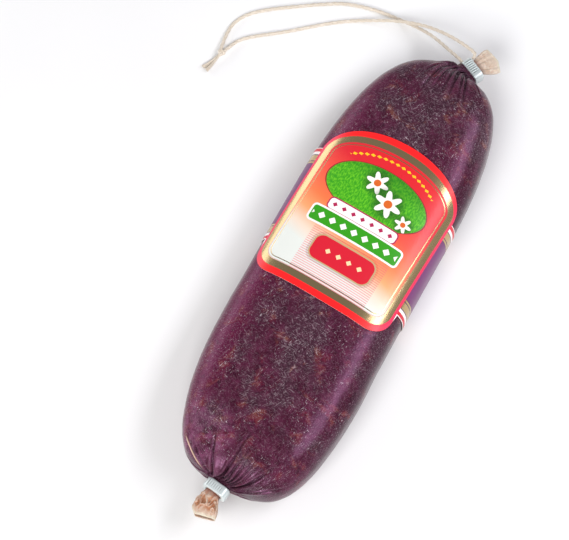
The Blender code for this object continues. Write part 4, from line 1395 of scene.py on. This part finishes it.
def light_studio(scene, looks):
    """A pale room, dimmer overhead, and soft lights whose width lies along the sausage."""
    world = bpy.data.worlds.new("studio")
    world.use_nodes = True
    tree = world.node_tree
    heading = add(tree, "ShaderNodeTexCoord").outputs["Generated"]
    height = add(tree, "ShaderNodeSeparateXYZ", {0: heading}).outputs["Z"]
    dimming = add(tree, "ShaderNodeMapRange", {0: height, 1: 0.3, 2: 0.95, 3: SIDE_GLOW * looks.light,
                                               4: TOP_GLOW * looks.light})
    feed(tree, tree.nodes["Background"], {"Color": linear("#f4f5fa"), "Strength": dimming})
    scene.world = world
    for name, spot, width, height, power, tint in SOFTBOXES:
        lamp = bpy.data.lights.new(name, "AREA")
        lamp.shape = "RECTANGLE"
        lamp.size, lamp.size_y = width, height
        lamp.energy = power * looks.light
        lamp.color = tint
        made = bpy.data.objects.new(name, lamp)
        scene.collection.objects.link(made)
        made.location = spot
        away = (Vector(spot) - Vector(LIGHTS_AIM)).normalized()
        made.rotation_euler = turned_to((Vector((0, 1, 0)) - away * away.y).normalized(), away)


class SAUSAGE_OT_stage(bpy.types.Operator):
    """Sets the camera, the soft lights and the plain pale floor"""

    bl_idname = "cured_sausage.stage"
    bl_label = "Set the stage"

    def execute(self, context):
        looks = context.scene.sausage_stage
        set_camera(context.scene, looks)
        lay_floor(looks)
        light_studio(context.scene, looks)
        return {"FINISHED"}


STEPS = (SAUSAGE_OT_stage, SAUSAGE_OT_twine, SAUSAGE_OT_casing, SAUSAGE_OT_tails, SAUSAGE_OT_clips,
         SAUSAGE_OT_label)
GROUPS = {"sausage_casing": CasingSettings, "sausage_tails": TailSettings, "sausage_clips": ClipSettings,
          "sausage_label": LabelSettings, "sausage_twine": TwineSettings, "sausage_stage": StageSettings}


class SAUSAGE_PT_panel(bpy.types.Panel):
    """Lists every step and its settings"""

    bl_label = "Cured sausage"
    bl_idname = "SAUSAGE_PT_panel"
    bl_space_type = "VIEW_3D"
    bl_region_type = "UI"
    bl_category = "Cured sausage"

    def draw(self, context):
        for step in STEPS:
            self.layout.operator(step.bl_idname)
        for name, group in GROUPS.items():
            box = self.layout.box()
            settings = getattr(context.scene, name)
            for prop in group.__annotations__:
                box.prop(settings, prop)


def register():
    for made in (*GROUPS.values(), *STEPS, SAUSAGE_PT_panel):
        bpy.utils.register_class(made)
    for name, group in GROUPS.items():
        setattr(bpy.types.Scene, name, PointerProperty(type=group))


def unregister():
    for name in GROUPS:
        delattr(bpy.types.Scene, name)
    for made in (SAUSAGE_PT_panel, *reversed(STEPS), *reversed(GROUPS.values())):
        bpy.utils.unregister_class(made)


def main():
    register()
    bpy.ops.cured_sausage.stage()
    bpy.ops.cured_sausage.twine()
    bpy.ops.cured_sausage.casing()
    bpy.ops.cured_sausage.tails()
    bpy.ops.cured_sausage.clips()
    bpy.ops.cured_sausage.label()


if __name__ == "__main__":
    main()
